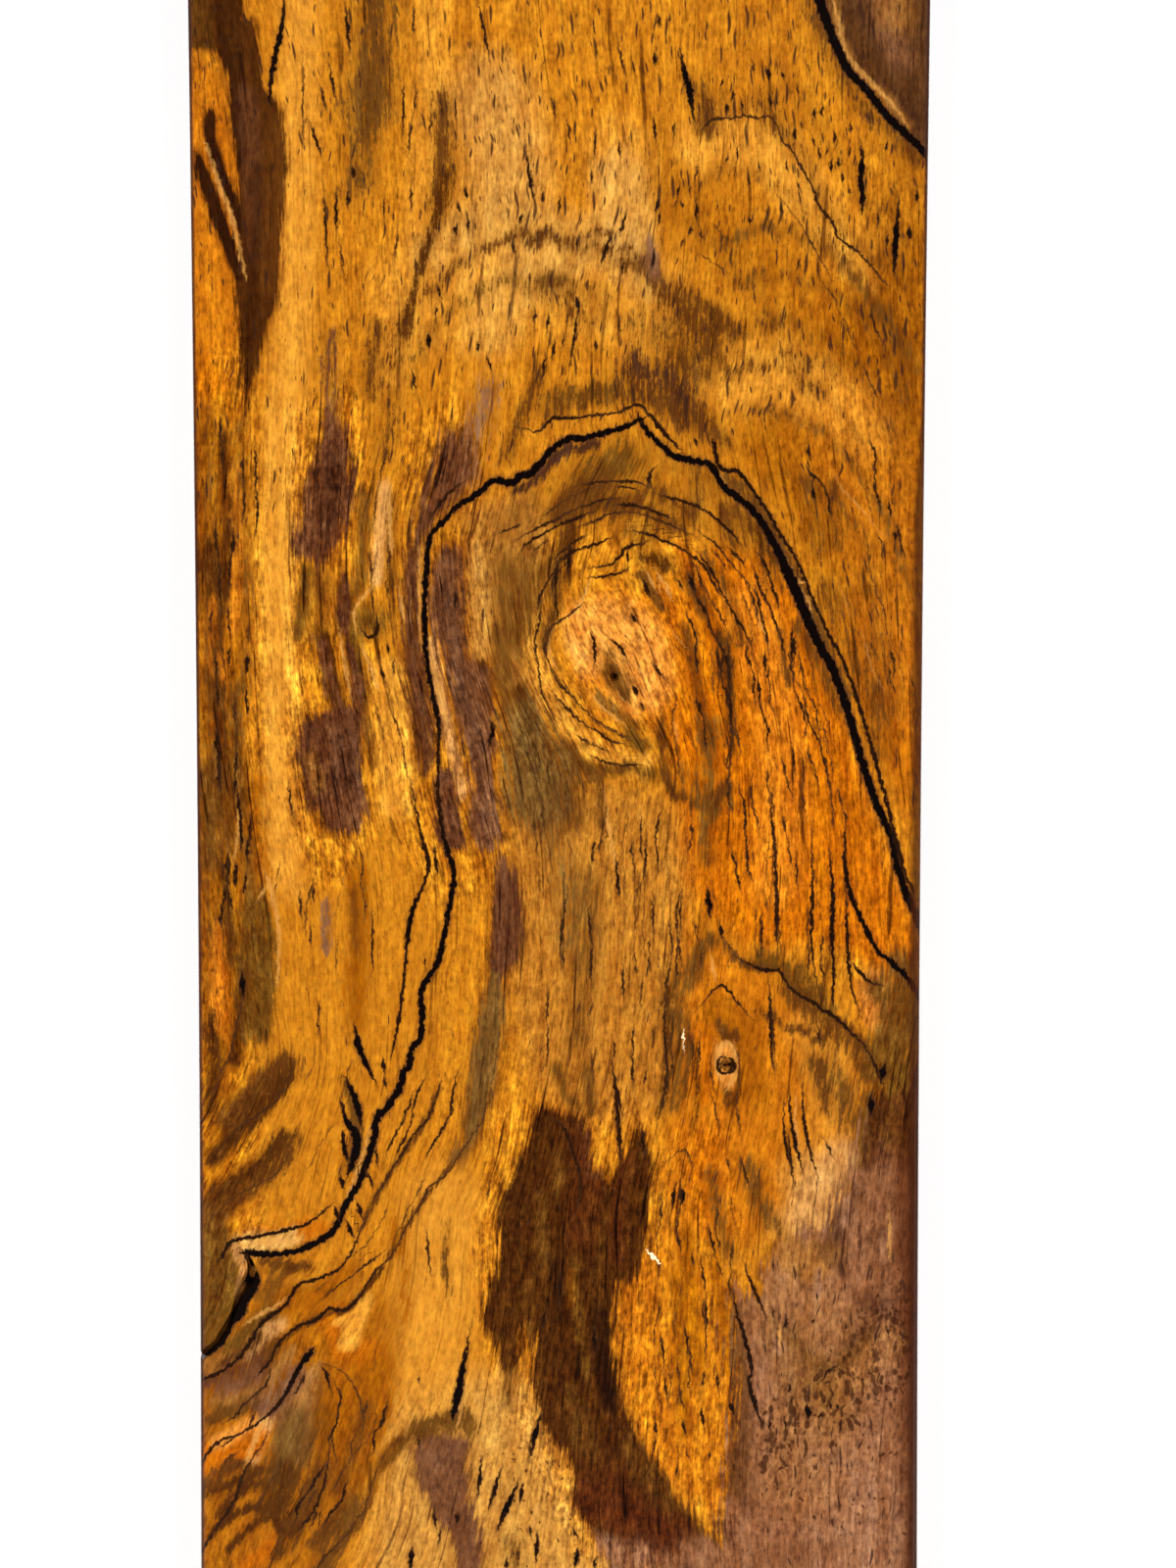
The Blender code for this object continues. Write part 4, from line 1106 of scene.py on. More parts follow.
# Open vessels and short splits that can be told apart one by one.
DASHES = (
    # from, to, half width in mm
    (812, 870, 814, 910, 0.25), (785, 1000, 792, 1095, 0.22), (628, 870, 632, 920, 0.32),
    (660, 850, 657, 905, 0.24), (635, 980, 637, 1030, 0.24), (380, 925, 380, 1000, 0.24),
    (625, 1090, 635, 1140, 0.3), (803, 1150, 810, 1205, 0.26), (808, 755, 812, 795, 0.25),
    (795, 640, 802, 675, 0.25), (731, 658, 735, 690, 0.3), (643, 625, 651, 636, 0.3),
    (646, 698, 650, 711, 0.35), (652, 716, 658, 726, 0.25), (566, 585, 562, 606, 0.2),
    (640, 560, 641, 575, 0.35), (582, 552, 579, 590, 0.4), (702, 584, 710, 606, 0.4),
    (714, 584, 716, 600, 0.3), (655, 588, 664, 612, 0.3), (690, 590, 697, 602, 0.25),
    (662, 480, 661, 496, 0.3), (708, 446, 712, 456, 0.3), (395, 655, 397, 668, 0.3),
    (387, 678, 394, 698, 0.25), (492, 620, 493, 640, 0.2), (464, 600, 465, 625, 0.3),
    (780, 660, 781, 690, 0.3), (547, 1465, 540, 1490, 0.3), (630, 42, 638, 78, 0.22),
    (562, 95, 567, 125, 0.22), (578, 120, 583, 148, 0.22), (422, 0, 422, 45, 0.22),
    (592, 300, 580, 385, 0.25), (536, 150, 546, 214, 0.32), (625, 235, 612, 273, 0.35),
    (640, 215, 632, 241, 0.28), (637, 264, 633, 282, 0.3), (590, 240, 588, 261, 0.25),
    (571, 200, 571, 218, 0.3), (476, 214, 479, 242, 0.3), (466, 225, 464, 245, 0.28),
    (467, 205, 470, 219, 0.25), (474, 190, 477, 204, 0.3), (553, 194, 554, 208, 0.25),
    (533, 217, 530, 229, 0.28), (603, 172, 603, 188, 0.25), (631, 140, 633, 163, 0.25),
    (608, 130, 606, 163, 0.25), (522, 244, 525, 260, 0.28), (437, 340, 438, 356, 0.45),
    (445, 312, 445, 324, 0.25), (446, 291, 450, 305, 0.28), (588, 300, 591, 321, 0.4),
    (608, 345, 608, 359, 0.25), (567, 344, 563, 369, 0.28), (576, 340, 573, 357, 0.22),
    (561, 318, 557, 342, 0.25), (546, 314, 545, 332, 0.2), (557, 358, 552, 392, 0.28),
    (631, 320, 633, 342, 0.22), (496, 362, 502, 381, 0.3), (488, 349, 488, 359, 0.28),
    (420, 375, 425, 400, 0.3), (309, 50, 309, 160, 0.18), (335, 62, 343, 106, 0.25),
    (326, 85, 334, 116, 0.22), (352, 0, 357, 58, 0.3), (412, 80, 411, 142, 0.25),
    (421, 118, 416, 161, 0.22), (440, 115, 439, 139, 0.22), (450, 90, 451, 126, 0.2),
    (465, 95, 465, 126, 0.22), (425, 85, 422, 121, 0.2), (316, 124, 329, 162, 0.3),
    (343, 190, 343, 241, 0.32), (355, 193, 355, 213, 0.28), (330, 185, 335, 282, 0.25),
    (392, 200, 392, 226, 0.22), (419, 190, 419, 206, 0.25), (360, 168, 361, 184, 0.3),
    (406, 234, 402, 266, 0.2), (347, 245, 351, 282, 0.2), (233, 868, 232, 898, 0.4),
    (294, 798, 299, 834, 0.25), (443, 860, 447, 897, 0.3), (433, 974, 434, 992, 0.22),
    (305, 904, 308, 942, 0.22), (319, 904, 320, 922, 0.28), (316, 944, 317, 967, 0.22),
    (383, 1168, 386, 1192, 0.25), (374, 1194, 381, 1214, 0.3), (390, 1079, 393, 1096, 0.38),
    (392, 1098, 394, 1113, 0.22), (347, 1199, 351, 1214, 0.4), (341, 1230, 346, 1246, 0.4),
    (363, 1224, 371, 1247, 0.38), (353, 1244, 361, 1264, 0.42), (246, 988, 249, 1022, 0.5),
    (828, 494, 832, 512, 0.4), (905, 508, 911, 532, 0.28), (913, 542, 914, 552, 0.4),
    (825, 452, 826, 470, 0.25), (808, 634, 809, 684, 0.35), (286, 878, 282, 900, 0.15),
    (671, 14, 674, 28, 0.3), (683, 13, 684, 25, 0.2), (667, 52, 669, 68, 0.38), (667, 118, 669, 146, 0.3),
    (688, 122, 687, 143, 0.22), (737, 79, 737, 89, 0.25), (748, 91, 748, 104, 0.28),
    (741, 104, 742, 118, 0.3), (756, 100, 757, 113, 0.28), (768, 63, 769, 74, 0.28),
    (784, 68, 785, 84, 0.38), (798, 72, 799, 81, 0.28), (812, 84, 815, 99, 0.22), (822, 61, 827, 79, 0.16),
    (786, 96, 787, 112, 0.32), (777, 101, 777, 113, 0.22), (793, 96, 793, 108, 0.3),
    (811, 130, 811, 145, 0.38), (831, 110, 832, 123, 0.35), (838, 106, 839, 121, 0.28),
    (829, 138, 831, 151, 0.28), (836, 150, 836, 163, 0.28), (818, 123, 818, 134, 0.25),
    (848, 161, 848, 177, 0.32), (851, 133, 852, 148, 0.3), (868, 124, 868, 136, 0.25),
    (855, 161, 856, 171, 0.35), (867, 150, 866, 160, 0.28), (859, 176, 860, 187, 0.3),
    (803, 163, 803, 175, 0.28), (814, 161, 815, 170, 0.3), (763, 173, 765, 190, 0.3),
    (775, 165, 775, 175, 0.22), (753, 148, 752, 166, 0.28), (743, 157, 740, 167, 0.22),
    (712, 166, 708, 190, 0.22), (694, 187, 690, 202, 0.28), (704, 188, 704, 200, 0.22),
    (710, 201, 711, 227, 0.32), (674, 202, 668, 217, 0.35), (674, 213, 671, 231, 0.24),
    (696, 203, 696, 216, 0.2), (706, 230, 703, 241, 0.25), (698, 244, 695, 252, 0.28),
    (714, 230, 716, 249, 0.2), (764, 220, 765, 231, 0.32), (783, 213, 783, 222, 0.22),
    (797, 204, 799, 223, 0.2), (813, 183, 816, 195, 0.2), (816, 263, 813, 276, 0.28),
    (668, 254, 665, 276, 0.36), (732, 205, 731, 213, 0.22), (935, 194, 936, 206, 0.4),
    (929, 231, 927, 246, 0.42), (906, 238, 904, 252, 0.3), (897, 212, 895, 235, 0.2),
    (905, 145, 904, 153, 0.35), (885, 180, 883, 192, 0.2), (866, 188, 868, 200, 0.22),
    (845, 150, 842, 160, 0.2), (834, 208, 839, 222, 0.12), (660, 1090, 656, 1110, 0.2),
    (722, 905, 725, 938, 0.5), (734, 940, 738, 960, 0.38), (777, 925, 777, 982, 0.24),
    (791, 900, 793, 975, 0.28), (695, 905, 694, 958, 0.2), (691, 955, 697, 988, 0.2),
    (666, 905, 667, 962, 0.2), (834, 1043, 838, 1072, 0.2), (708, 1044, 706, 1100, 0.18),
    (714, 1050, 713, 1096, 0.2), (690, 1206, 685, 1238, 0.35), (697, 1212, 696, 1230, 0.6),
    (755, 1178, 765, 1216, 0.22), (741, 1180, 745, 1196, 0.2), (903, 1083, 899, 1106, 0.6),
    (888, 1116, 890, 1140, 0.6), (722, 1248, 731, 1286, 0.28), (731, 1286, 738, 1302, 0.22),
    (714, 1278, 721, 1326, 0.25), (720, 1324, 721, 1357, 0.28), (674, 1358, 678, 1400, 0.26),
    (677, 1400, 681, 1432, 0.22), (698, 1348, 703, 1386, 0.26), (703, 1386, 707, 1402, 0.2),
    (715, 1434, 719, 1461, 0.36), (696, 1448, 700, 1466, 0.28), (668, 1448, 670, 1466, 0.25),
    (744, 1428, 750, 1446, 0.38), (693, 1418, 698, 1440, 0.2), (732, 1398, 733, 1421, 0.25),
    (723, 1481, 725, 1489, 0.3), (691, 1494, 690, 1506, 0.25), (669, 1466, 667, 1484, 0.25),
    (706, 1278, 707, 1292, 0.25), (789, 1283, 789, 1296, 0.22), (833, 1318, 834, 1327, 0.28),
    (788, 1333, 789, 1346, 0.22), (803, 1344, 802, 1356, 0.35), (831, 1344, 829, 1352, 0.22),
    (785, 1448, 786, 1459, 0.35), (779, 1448, 777, 1458, 0.25), (801, 1448, 802, 1459, 0.32),
    (811, 1456, 813, 1465, 0.28), (806, 1412, 805, 1421, 0.35), (808, 1424, 808, 1433, 0.22),
    (858, 1448, 857, 1463, 0.3), (930, 1278, 929, 1288, 0.3), (823, 1432, 826, 1449, 0.62),
    (838, 1441, 836, 1449, 0.3), (846, 1431, 849, 1438, 0.35), (853, 1432, 857, 1439, 0.32),
    (907, 1335, 909, 1347, 0.2), (903, 1350, 908, 1368, 0.2), (917, 1382, 916, 1398, 0.2),
    (492, 1484, 487, 1532, 0.38), (513, 1494, 497, 1546, 0.4), (530, 1508, 506, 1565, 0.55),
    (534, 1512, 530, 1536, 0.4), (553, 1440, 540, 1486, 0.5), (549, 1562, 546, 1597, 0.4),
    (590, 1578, 586, 1602, 0.5), (583, 1558, 591, 1571, 0.25), (608, 1588, 606, 1603, 0.28),
    (421, 1578, 418, 1604, 0.5), (442, 1538, 445, 1562, 0.32), (450, 1558, 448, 1576, 0.25),
    (467, 1543, 466, 1556, 0.4), (428, 1403, 427, 1413, 0.22), (427, 1467, 427, 1476, 0.28),
    (541, 1556, 542, 1570, 0.3), (518, 1588, 516, 1602, 0.3), (500, 1204, 497, 1226, 0.18),
    (383, 1375, 382, 1400, 0.12), (630, 1140, 632, 1182, 0.3), (655, 1150, 657, 1180, 0.35),
    (700, 1478, 703, 1490, 0.2), (571, 1290, 572, 1340, 0.3), (606, 1350, 607, 1385, 0.4),
    (558, 1330, 552, 1360, 0.3),
)
CREAM_LINES = (
    # pale flecks in the great knot
    ((0.08, 0.2, 0.08), [582, 655, 586, 672]),
    ((0.1, 0.25, 0.1), [592, 665, 600, 674]),
    ((0.08, 0.2, 0.08), [640, 620, 648, 612]),
    ((0.06, 0.16, 0.06), [628, 700, 634, 712, 645, 722]),
    ((0.08, 0.2, 0.08), [648, 676, 656, 690]),
    ((0.08, 0.16, 0.08), [664, 660, 670, 672]),
    ((0.06, 0.14, 0.06), [684, 640, 690, 650, 700, 660]),
    ((0.08, 0.2, 0.08), [632, 664, 640, 676]),
    ((0.08, 0.2, 0.08), [612, 634, 620, 628]),
    ((0.08, 0.2, 0.08), [688, 735, 691, 755]),
    ((0.06, 0.16, 0.18, 0.06), [602, 706, 615, 722, 640, 742]),
    ((0.06, 0.18, 0.18, 0.06), [566, 640, 560, 655, 563, 672, 572, 690]),
    ((0.08, 0.22, 0.08), [612, 650, 618, 660]),
    ((0.08, 0.18, 0.08), [652, 700, 660, 712]),
    ((0.1, 0.5, 0.6, 0.3), [437, 652, 443, 685, 455, 735]),
    ((0.2, 0.3, 0.2), [381, 598, 363, 619, 362, 640]),
    ((0.1, 0.4, 0.1), [407, 604, 412, 632]),
    ((0.1, 0.3, 0.1), [347, 645, 352, 680, 358, 712]),
    ((0.1, 0.25, 0.1), [428, 560, 428, 610, 429, 660]),
    ((0.1, 0.25, 0.25, 0.1), [617, 808, 622, 850, 633, 906]),
    ((0.1, 0.3, 0.1), [660, 583, 668, 600]),
    ((0.1, 0.25, 0.1), [670, 583, 678, 598]),
    ((0.4, 0.45, 0.4), [681, 600, 683, 605]),
    ((0.1, 0.25, 0.1), [735, 484, 740, 492]),
    ((0.2, 0.4, 0.3), [396, 495, 398, 530, 399, 560]),
    ((0.2, 0.4, 0.2), [372, 665, 385, 700]),
    ((0.1, 0.3, 0.2), [278, 900, 285, 960, 283, 1000]),
    ((0.1, 0.25, 0.25, 0.1), [603, 590, 590, 620, 580, 632]),
    ((0.2, 0.35, 0.35, 0.2), [378, 1150, 370, 1180, 362, 1205, 355, 1220]),
    ((0.2, 0.5, 0.5, 0.3), [245, 1272, 270, 1268, 300, 1266]),
    ((0.2, 0.5, 0.3), [272, 1445, 262, 1465, 252, 1490]),
    # painted highlight: the pale fringe round the glint beside the dark patch
    ((0.2, 0.3, 0.2), [664, 1279, 671, 1288]),
    ((0.2, 0.4, 0.4, 0.2), [211, 150, 226, 195, 233, 212, 240, 236, 250, 280]),
    ((0.1, 0.3, 0.1), [243, 818, 243, 850, 238, 880]),
    ((0.1, 0.3, 0.3, 0.1), [270, 890, 276, 905, 278, 925]),
    ((0.1, 0.25, 0.1), [263, 918, 274, 903]),
    ((0.3, 0.4, 0.3), [810, 592, 816, 594]),
    ((0.1, 0.25, 0.1), [820, 603, 825, 615, 828, 630]),
    ((0.1, 0.2, 0.1), [795, 560, 805, 575]),
    ((0.05, 0.12, 0.05), [858, 600, 866, 626]),
    ((0.05, 0.12, 0.05), [880, 645, 890, 682, 903, 705]),
    ((0.1, 0.22, 0.1), [770, 620, 785, 660]),
    ((0.2, 0.4, 0.4, 0.2), [850, 0, 856, 20, 860, 45, 868, 62, 912, 108, 922, 122]),
    ((0.05, 0.15, 0.05), [850, 480, 860, 500, 875, 515, 900, 545]),
    ((0.1, 0.3, 0.1), [907, 1230, 908, 1285]),
    ((0.1, 0.4, 0.1), [795, 1350, 796, 1375]),
    ((0.5, 0.6, 0.6, 0.5, 0.5), [731, 1080, 735, 1069, 741, 1065, 748, 1070, 750, 1082]),
    ((0.3, 0.45, 0.45, 0.3), [750, 1082, 749, 1098, 744, 1108]),
    ((0.3, 0.45, 0.3), [731, 1080, 733, 1096]),
    ((0.1, 0.35, 0.35, 0.1), [292, 1324, 278, 1335, 262, 1343, 250, 1351]),
    ((0.1, 0.3, 0.3, 0.1), [726, 975, 728, 990, 730, 1000]),
    ((0.1, 0.2, 0.1), [812, 1118, 812, 1150, 816, 1176]),
    ((0.1, 0.25, 0.1), [844, 1168, 853, 1178]),
    ((0.1, 0.3, 0.3, 0.1), [470, 1395, 474, 1415, 466, 1460]),
    ((0.1, 0.4, 0.4, 0.1), [550, 1530, 545, 1548, 543, 1560]),
)
DASH_POINT = 0.08
INK_SETS = 4
CREAM_SETS = 2
INK_REACH = 1.3
COARSE_REACH = 3.4
FAR_GAP = 9.0
line_reach = np.where(on_fine_face, INK_REACH, COARSE_REACH)


def line_fields(lines, count):
    """For each set of lines, every place's gap to the nearest line and that line's half width."""
    gaps = np.full((count, len(spots)), FAR_GAP, dtype=np.float32)
    widths = np.zeros((count, len(spots)), dtype=np.float32)
    for half_widths, points in lines:
        near, off, share = measure(figure, smooth(points), COARSE_REACH)
        clashes = [
            np.count_nonzero((widths[index, near] > 0) & (np.abs(off) < line_reach[near]))
            for index in range(count)
        ]
        chosen = int(np.argmin(clashes))
        nearer = np.abs(off) < np.abs(gaps[chosen, near])
        near, off, share = near[nearer], off[nearer], share[nearer]
        gaps[chosen, near] = off
        marks = np.linspace(0, 1, len(half_widths))
        width = np.interp(share, marks, half_widths)
        widths[chosen, near] = np.where(np.abs(off) < line_reach[near], width, 0)
    return gaps, widths


# Families of thin growth lines, each drawn between two guides: rings round the great knot and
# long fibres beside it. Every line wanders a little and is broken into pieces.
LINE_FAMILIES = (
    # how many, share that shows, half width in mm, wander in px, first guide, last guide
    (9, 0.75, 0.24, 5, [480, 565, 500, 535, 535, 520, 572, 497, 600, 487, 640, 486, 682, 497, 718, 510,
     748, 530, 774, 562, 795, 605, 805, 650], [580, 640, 582, 602, 600, 582, 626, 574, 645, 562, 665, 566,
     690, 577, 706, 600, 722, 632, 736, 664, 742, 705]),
    (4, 0.7, 0.2, 3, [572, 560, 548, 600, 536, 650, 540, 700, 560, 742, 592, 772, 625, 786, 660, 786],
     [588, 622, 568, 640, 560, 660, 568, 690, 592, 718, 618, 738, 642, 750]),
    (8, 0.6, 0.2, 4, [668, 600, 676, 660, 684, 720, 690, 780, 690, 850], [742, 640, 752, 690, 756, 750,
     756, 800, 754, 850]),
    (12, 0.55, 0.2, 3, [700, 840, 704, 900, 708, 950, 712, 985], [835, 700, 850, 770, 866, 850, 872, 930,
     880, 1010]),
    (8, 0.5, 0.2, 3, [756, 640, 760, 700, 766, 760, 770, 830], [822, 655, 842, 720, 856, 780, 866, 850]),
    (12, 0.6, 0.18, 3, [600, 800, 598, 900, 596, 1000, 600, 1110], [706, 830, 700, 900, 692, 1000,
     690, 1120]),
    (6, 0.5, 0.16, 3, [512, 700, 530, 790, 545, 880, 552, 1000, 556, 1090], [570, 800, 590, 850, 596, 900,
     594, 1000, 592, 1080]),
    (6, 0.6, 0.26, 4, [212, 400, 214, 600, 216, 800, 214, 960], [262, 400, 262, 600, 266, 800, 262, 900]),
    (7, 0.5, 0.2, 3, [668, 1190, 668, 1280, 664, 1360, 668, 1450], [748, 1200, 752, 1260, 748, 1330,
     742, 1400]),
    (5, 0.5, 0.16, 3, [375, 440, 372, 520, 366, 600, 374, 700, 392, 800], [425, 420, 405, 520, 398, 600,
     412, 700, 430, 800]),
    (5, 0.4, 0.16, 5, [300, 860, 300, 960, 292, 1060, 272, 1150, 240, 1220], [410, 860, 400, 960, 385, 1040,
     350, 1130, 320, 1200]),
    (6, 0.5, 0.2, 4, [795, 440, 835, 500, 870, 580, 900, 680], [915, 420, 925, 520, 935, 640, 938, 760]),
    (4, 0.4, 0.14, 4, [690, 255, 740, 290, 790, 350, 850, 440, 890, 520], [790, 180, 850, 240, 900, 320,
     930, 420, 936, 520]),
    (5, 0.6, 0.2, 3, [420, 1090, 400, 1140, 380, 1200, 350, 1265, 300, 1290], [500, 1060, 480, 1140,
     430, 1220, 395, 1280, 330, 1330]),
    (6, 0.6, 0.2, 4, [285, 1380, 265, 1405, 240, 1430, 205, 1445], [330, 1400, 320, 1450, 300, 1510,
     262, 1580]),
    (6, 0.6, 0.22, 4, [335, 1400, 340, 1450, 322, 1500, 290, 1560], [400, 1400, 395, 1450, 372, 1500,
     345, 1560]),
)


TRACE_STEP = 9
LEAST_STEPS = 12
ROAM_WAVES = (2.3, 5.1, 11.0)
FINE_POINT = 0.06


def fanned(count, share, half, roam, first, last, seed):
    """The broken lines of one family, from one guide to the other."""
    pick = np.random.default_rng(seed)
    ends = [np.array(guide, dtype=float).reshape(-1, 2) for guide in (first, last)]
    marks = [np.linspace(0, 1, len(guide)) for guide in ends]
    pieces = []
    for index in range(count):
        mix = (index + 0.5 + pick.uniform(-0.3, 0.3)) / count
        span = (1 - mix) * ends[0][[0, -1]] + mix * ends[1][[0, -1]]
        length = np.hypot(*np.diff(span, axis=0)[0])
        steps = max(LEAST_STEPS, int(length / TRACE_STEP))
        along = np.linspace(0, 1, steps)
        x, y = [
            (1 - mix) * np.interp(along, marks[0], ends[0][:, axis])
            + mix * np.interp(along, marks[1], ends[1][:, axis])
            for axis in (0, 1)
        ]
        for wave in ROAM_WAVES:
            x = x + roam / wave * 1.6 * np.sin(along * wave * 6.3 + pick.uniform(0, 6.3))
        start = int(pick.integers(0, 4))
        while start < steps - 2:
            run = int(pick.integers(3, 14))
            if pick.random() < share:
                stop = min(start + run, steps)
                if stop - start > 1:
                    places = np.column_stack((x[start:stop], y[start:stop])).ravel().tolist()
                    size = half * pick.uniform(0.6, 1.25)
                    pieces.append(((FINE_POINT, size, size * 0.7, size, FINE_POINT), places))
            start += run
    return pieces


family_lines = []
for index, family in enumerate(LINE_FAMILIES):
    family_lines += fanned(*family, index)
dash_lines = tuple(((DASH_POINT, half, DASH_POINT), ends) for *ends, half in DASHES)
ink_gaps, ink_widths = line_fields(INK_LINES + dash_lines + tuple(family_lines), INK_SETS)
cream_gaps, cream_widths = line_fields(CREAM_LINES, CREAM_SETS)


# The strength of the fibres, the open pores and the short curled marks, which differs from
# place to place, and three painted highlights: bright glints of light in small pores.
STREAKY_AREAS = (
    # strength, softness in mm, outline
    (0.6, 6, [262, -200, 330, -200, 330, 560, 320, 900, 262, 900]),
    (0.62, 6, [262, 880, 430, 880, 430, 1220, 262, 1240]),
    (1.2, 5, [700, 600, 790, 560, 860, 690, 940, 930, 940, 1020, 860, 1000, 760, 960, 700, 900]),
    (1.55, 4, [190, 400, 265, 400, 265, 1250, 190, 1250]),
    (1.05, 5, [860, 160, 960, 160, 960, 900, 900, 760, 800, 480]),
    (1.5, 4, [880, 960, 960, 960, 960, 1180, 880, 1180]),
    (1, 4, [745, 1300, 860, 1220, 960, 1200, 960, 1780, 740, 1780]),
    (1.35, 4, [632, 1200, 745, 1160, 745, 1560, 700, 1540, 632, 1400]),
    (1.45, 4, [520, 560, 700, 520, 700, 780, 520, 780]),
    (1.05, 4, [500, 800, 700, 800, 700, 1120, 500, 1120]),
    (0.5, 5, [390, 1210, 505, 1180, 500, 1400, 390, 1400]),
    (1.6, 4, [500, 1130, 660, 1130, 660, 1300, 700, 1600, 600, 1600, 490, 1350]),
    (1.7, 3, [298, 420, 372, 420, 380, 855, 298, 855]),
    (1.5, 3, [412, 435, 482, 435, 515, 870, 412, 870]),
)
PORY_AREAS = (
    (0.55, 6, [190, 560, 440, 560, 440, 1300, 190, 1300]),
    (0.35, 6, [190, 1250, 420, 1250, 420, 1780, 190, 1780]),
    (0.6, 6, [440, 500, 760, 460, 960, 1000, 960, 1240, 440, 1240]),
    (0.4, 5, [400, 1200, 740, 1240, 740, 1780, 400, 1780]),
    (1.25, 6, [500, -200, 860, -200, 930, 200, 930, 400, 500, 380]),
)
WORMY_AREAS = (
    (0.38, 5, [780, 1300, 860, 1280, 960, 1180, 960, 1800, 740, 1800, 740, 1400]),
    (1.25, 5, [768, 1460, 790, 1425, 830, 1400, 880, 1340, 930, 1300, 945, 1400, 900, 1440, 850, 1490,
     790, 1520]),
    (0.75, 6, [790, 1500, 860, 1480, 940, 1440, 945, 1560, 880, 1560, 800, 1570, 760, 1580]),
    (0.5, 3, [430, 1480, 470, 1480, 490, 1600, 465, 1600]),
    (0.6, 5, [490, 1380, 560, 1460, 590, 1500, 600, 1620, 490, 1620]),
)
# painted highlights: three near-white glints of light in small pores
GLINTS = (
    # half width in mm, from, to
    (0.3, 665, 1281, 669, 1285),
    (0.16, 697, 1056, 697, 1058),
    (0.09, 697, 1067, 697, 1068),
)
USUAL_STREAKS = 0.85


def spread(amount, areas):
    """How strong something is at each place: an even amount, and other amounts in some areas."""
    amounts = np.full(len(spots), amount)
    for strength, soft, points in areas:
        mask = 1 - ease(-soft / 2, soft / 2, ring_gap(figure, points, soft))
        amounts += (strength - amounts) * mask
    return amounts


streak_amount = spread(USUAL_STREAKS, STREAKY_AREAS)
pore_amount = spread(1.0, PORY_AREAS)
worm_amount = spread(0.0, WORMY_AREAS)
glint_lines = [((half, half), ends) for half, *ends in GLINTS]
glint_gaps, glint_widths = line_fields(glint_lines, 1)


# What the finish needs to know at each place, kept on the board's vertices. The dark rim along
# the long edges is painted shade on the eased corners and the long sides, and it is wider on the
# right, from 40 mm above the middle of the board downwards.
RIM_WIDTH = 0.55
RIGHT_RIM_EXTRA = 1.0
RIGHT_RIM_STARTS = 60
RIGHT_RIM_FULL = 40
rim_extra = RIGHT_RIM_EXTRA * (spots[:, 0] > 0) * ease(RIGHT_RIM_STARTS, RIGHT_RIM_FULL, figure[:, 1])
rim_width = RIM_WIDTH + rim_extra
edge_gap = np.array([edge_offset(y) - abs(x) for x, y in spots[:, :2]], dtype=np.float32)


def keep(name, *columns):
    """Store up to four numbers a vertex under one name."""
    table = np.zeros((len(spots), 4), dtype=np.float32)
    for index, column in enumerate(columns):
        table[:, index] = column
    layer = wood.attributes.new(name, "FLOAT_COLOR", "POINT")
    layer.data.foreach_set("color", table.ravel())


keep("ground", ground[:, 0], ground[:, 1], ground[:, 2], pore_amount)
keep("dark", dark[:, 0], dark[:, 1], dark[:, 2], island_gap)
keep("stain", stain[:, 0], stain[:, 1], stain[:, 2], stain_amount)
keep("island", island_soft, island_rag, edge_gap, streak_amount)
keep("inks_one", ink_gaps[0], ink_widths[0], ink_gaps[1], ink_widths[1])
keep("inks_two", ink_gaps[2], ink_widths[2], ink_gaps[3], ink_widths[3])
keep("worms_and_glints", worm_amount, glint_gaps[0], glint_widths[0])
keep("creams", cream_gaps[0], cream_widths[0], cream_gaps[1], cream_widths[1])
keep("fibre", fibre_across, fibre_along, depth_below, rim_width)


# The finish: planed, sanded and oiled, so the colours are deep and the surface is satin, with
# open pores as short dark dashes along the fibres. Patterns on the fibres have so many cells a
# millimetre across, along and through them, and patterns on the place so many a metre.
finish = bpy.data.materials.new("oiled_cocobolo")
finish.use_nodes = True
nodes = finish.node_tree.nodes
links = finish.node_tree.links
shader = nodes["Principled BSDF"]


def put(socket, value):
    """Feed a socket from another socket, or set it to a number or colour."""
    if isinstance(value, bpy.types.NodeSocket):
        links.new(value, socket)
    else:
        socket.default_value = value


def kept(name, split=True):
    """The four numbers kept under a name: three as one colour or apart, and the fourth."""
    reader = nodes.new("ShaderNodeAttribute")
    reader.attribute_name = name
    if not split:
        return reader.outputs["Color"], reader.outputs["Alpha"]
    apart = nodes.new("ShaderNodeSeparateXYZ")
    links.new(reader.outputs["Vector"], apart.inputs[0])
    return (*apart.outputs, reader.outputs["Alpha"])


def sum_of(operation, *values, clamp=False):
    """One arithmetic step."""
    node = nodes.new("ShaderNodeMath")
    node.operation = operation
    node.use_clamp = clamp
    for socket, value in zip(node.inputs, values):
        put(socket, value)
    return node.outputs[0]


def step_down(value, low, high):
    """1 where the value is under low, 0 where it is over high, smooth between."""
    node = nodes.new("ShaderNodeMapRange")
    node.interpolation_type = "SMOOTHSTEP"
    put(node.inputs["Value"], value)
    put(node.inputs["From Min"], low)
    put(node.inputs["From Max"], high)
    node.inputs["To Min"].default_value = 1.0
    node.inputs["To Max"].default_value = 0.0
    return node.outputs["Result"]


def stretched(vector, across, along, deep, move=0.0):
    """A vector scaled to a pattern's cells, and moved to another part of the pattern."""
    node = nodes.new("ShaderNodeMapping")
    put(node.inputs["Vector"], vector)
    node.inputs["Scale"].default_value = (across, along, deep)
    node.inputs["Location"].default_value = (move, move, move)
    return node.outputs[0]


def plus_scaled(vector, scale, base):
    """One vector, scaled, on top of another."""
    node = nodes.new("ShaderNodeVectorMath")
    node.operation = "MULTIPLY_ADD"
    for socket, value in zip(node.inputs, (vector, scale, base)):
        put(socket, value)
    return node.outputs[0]


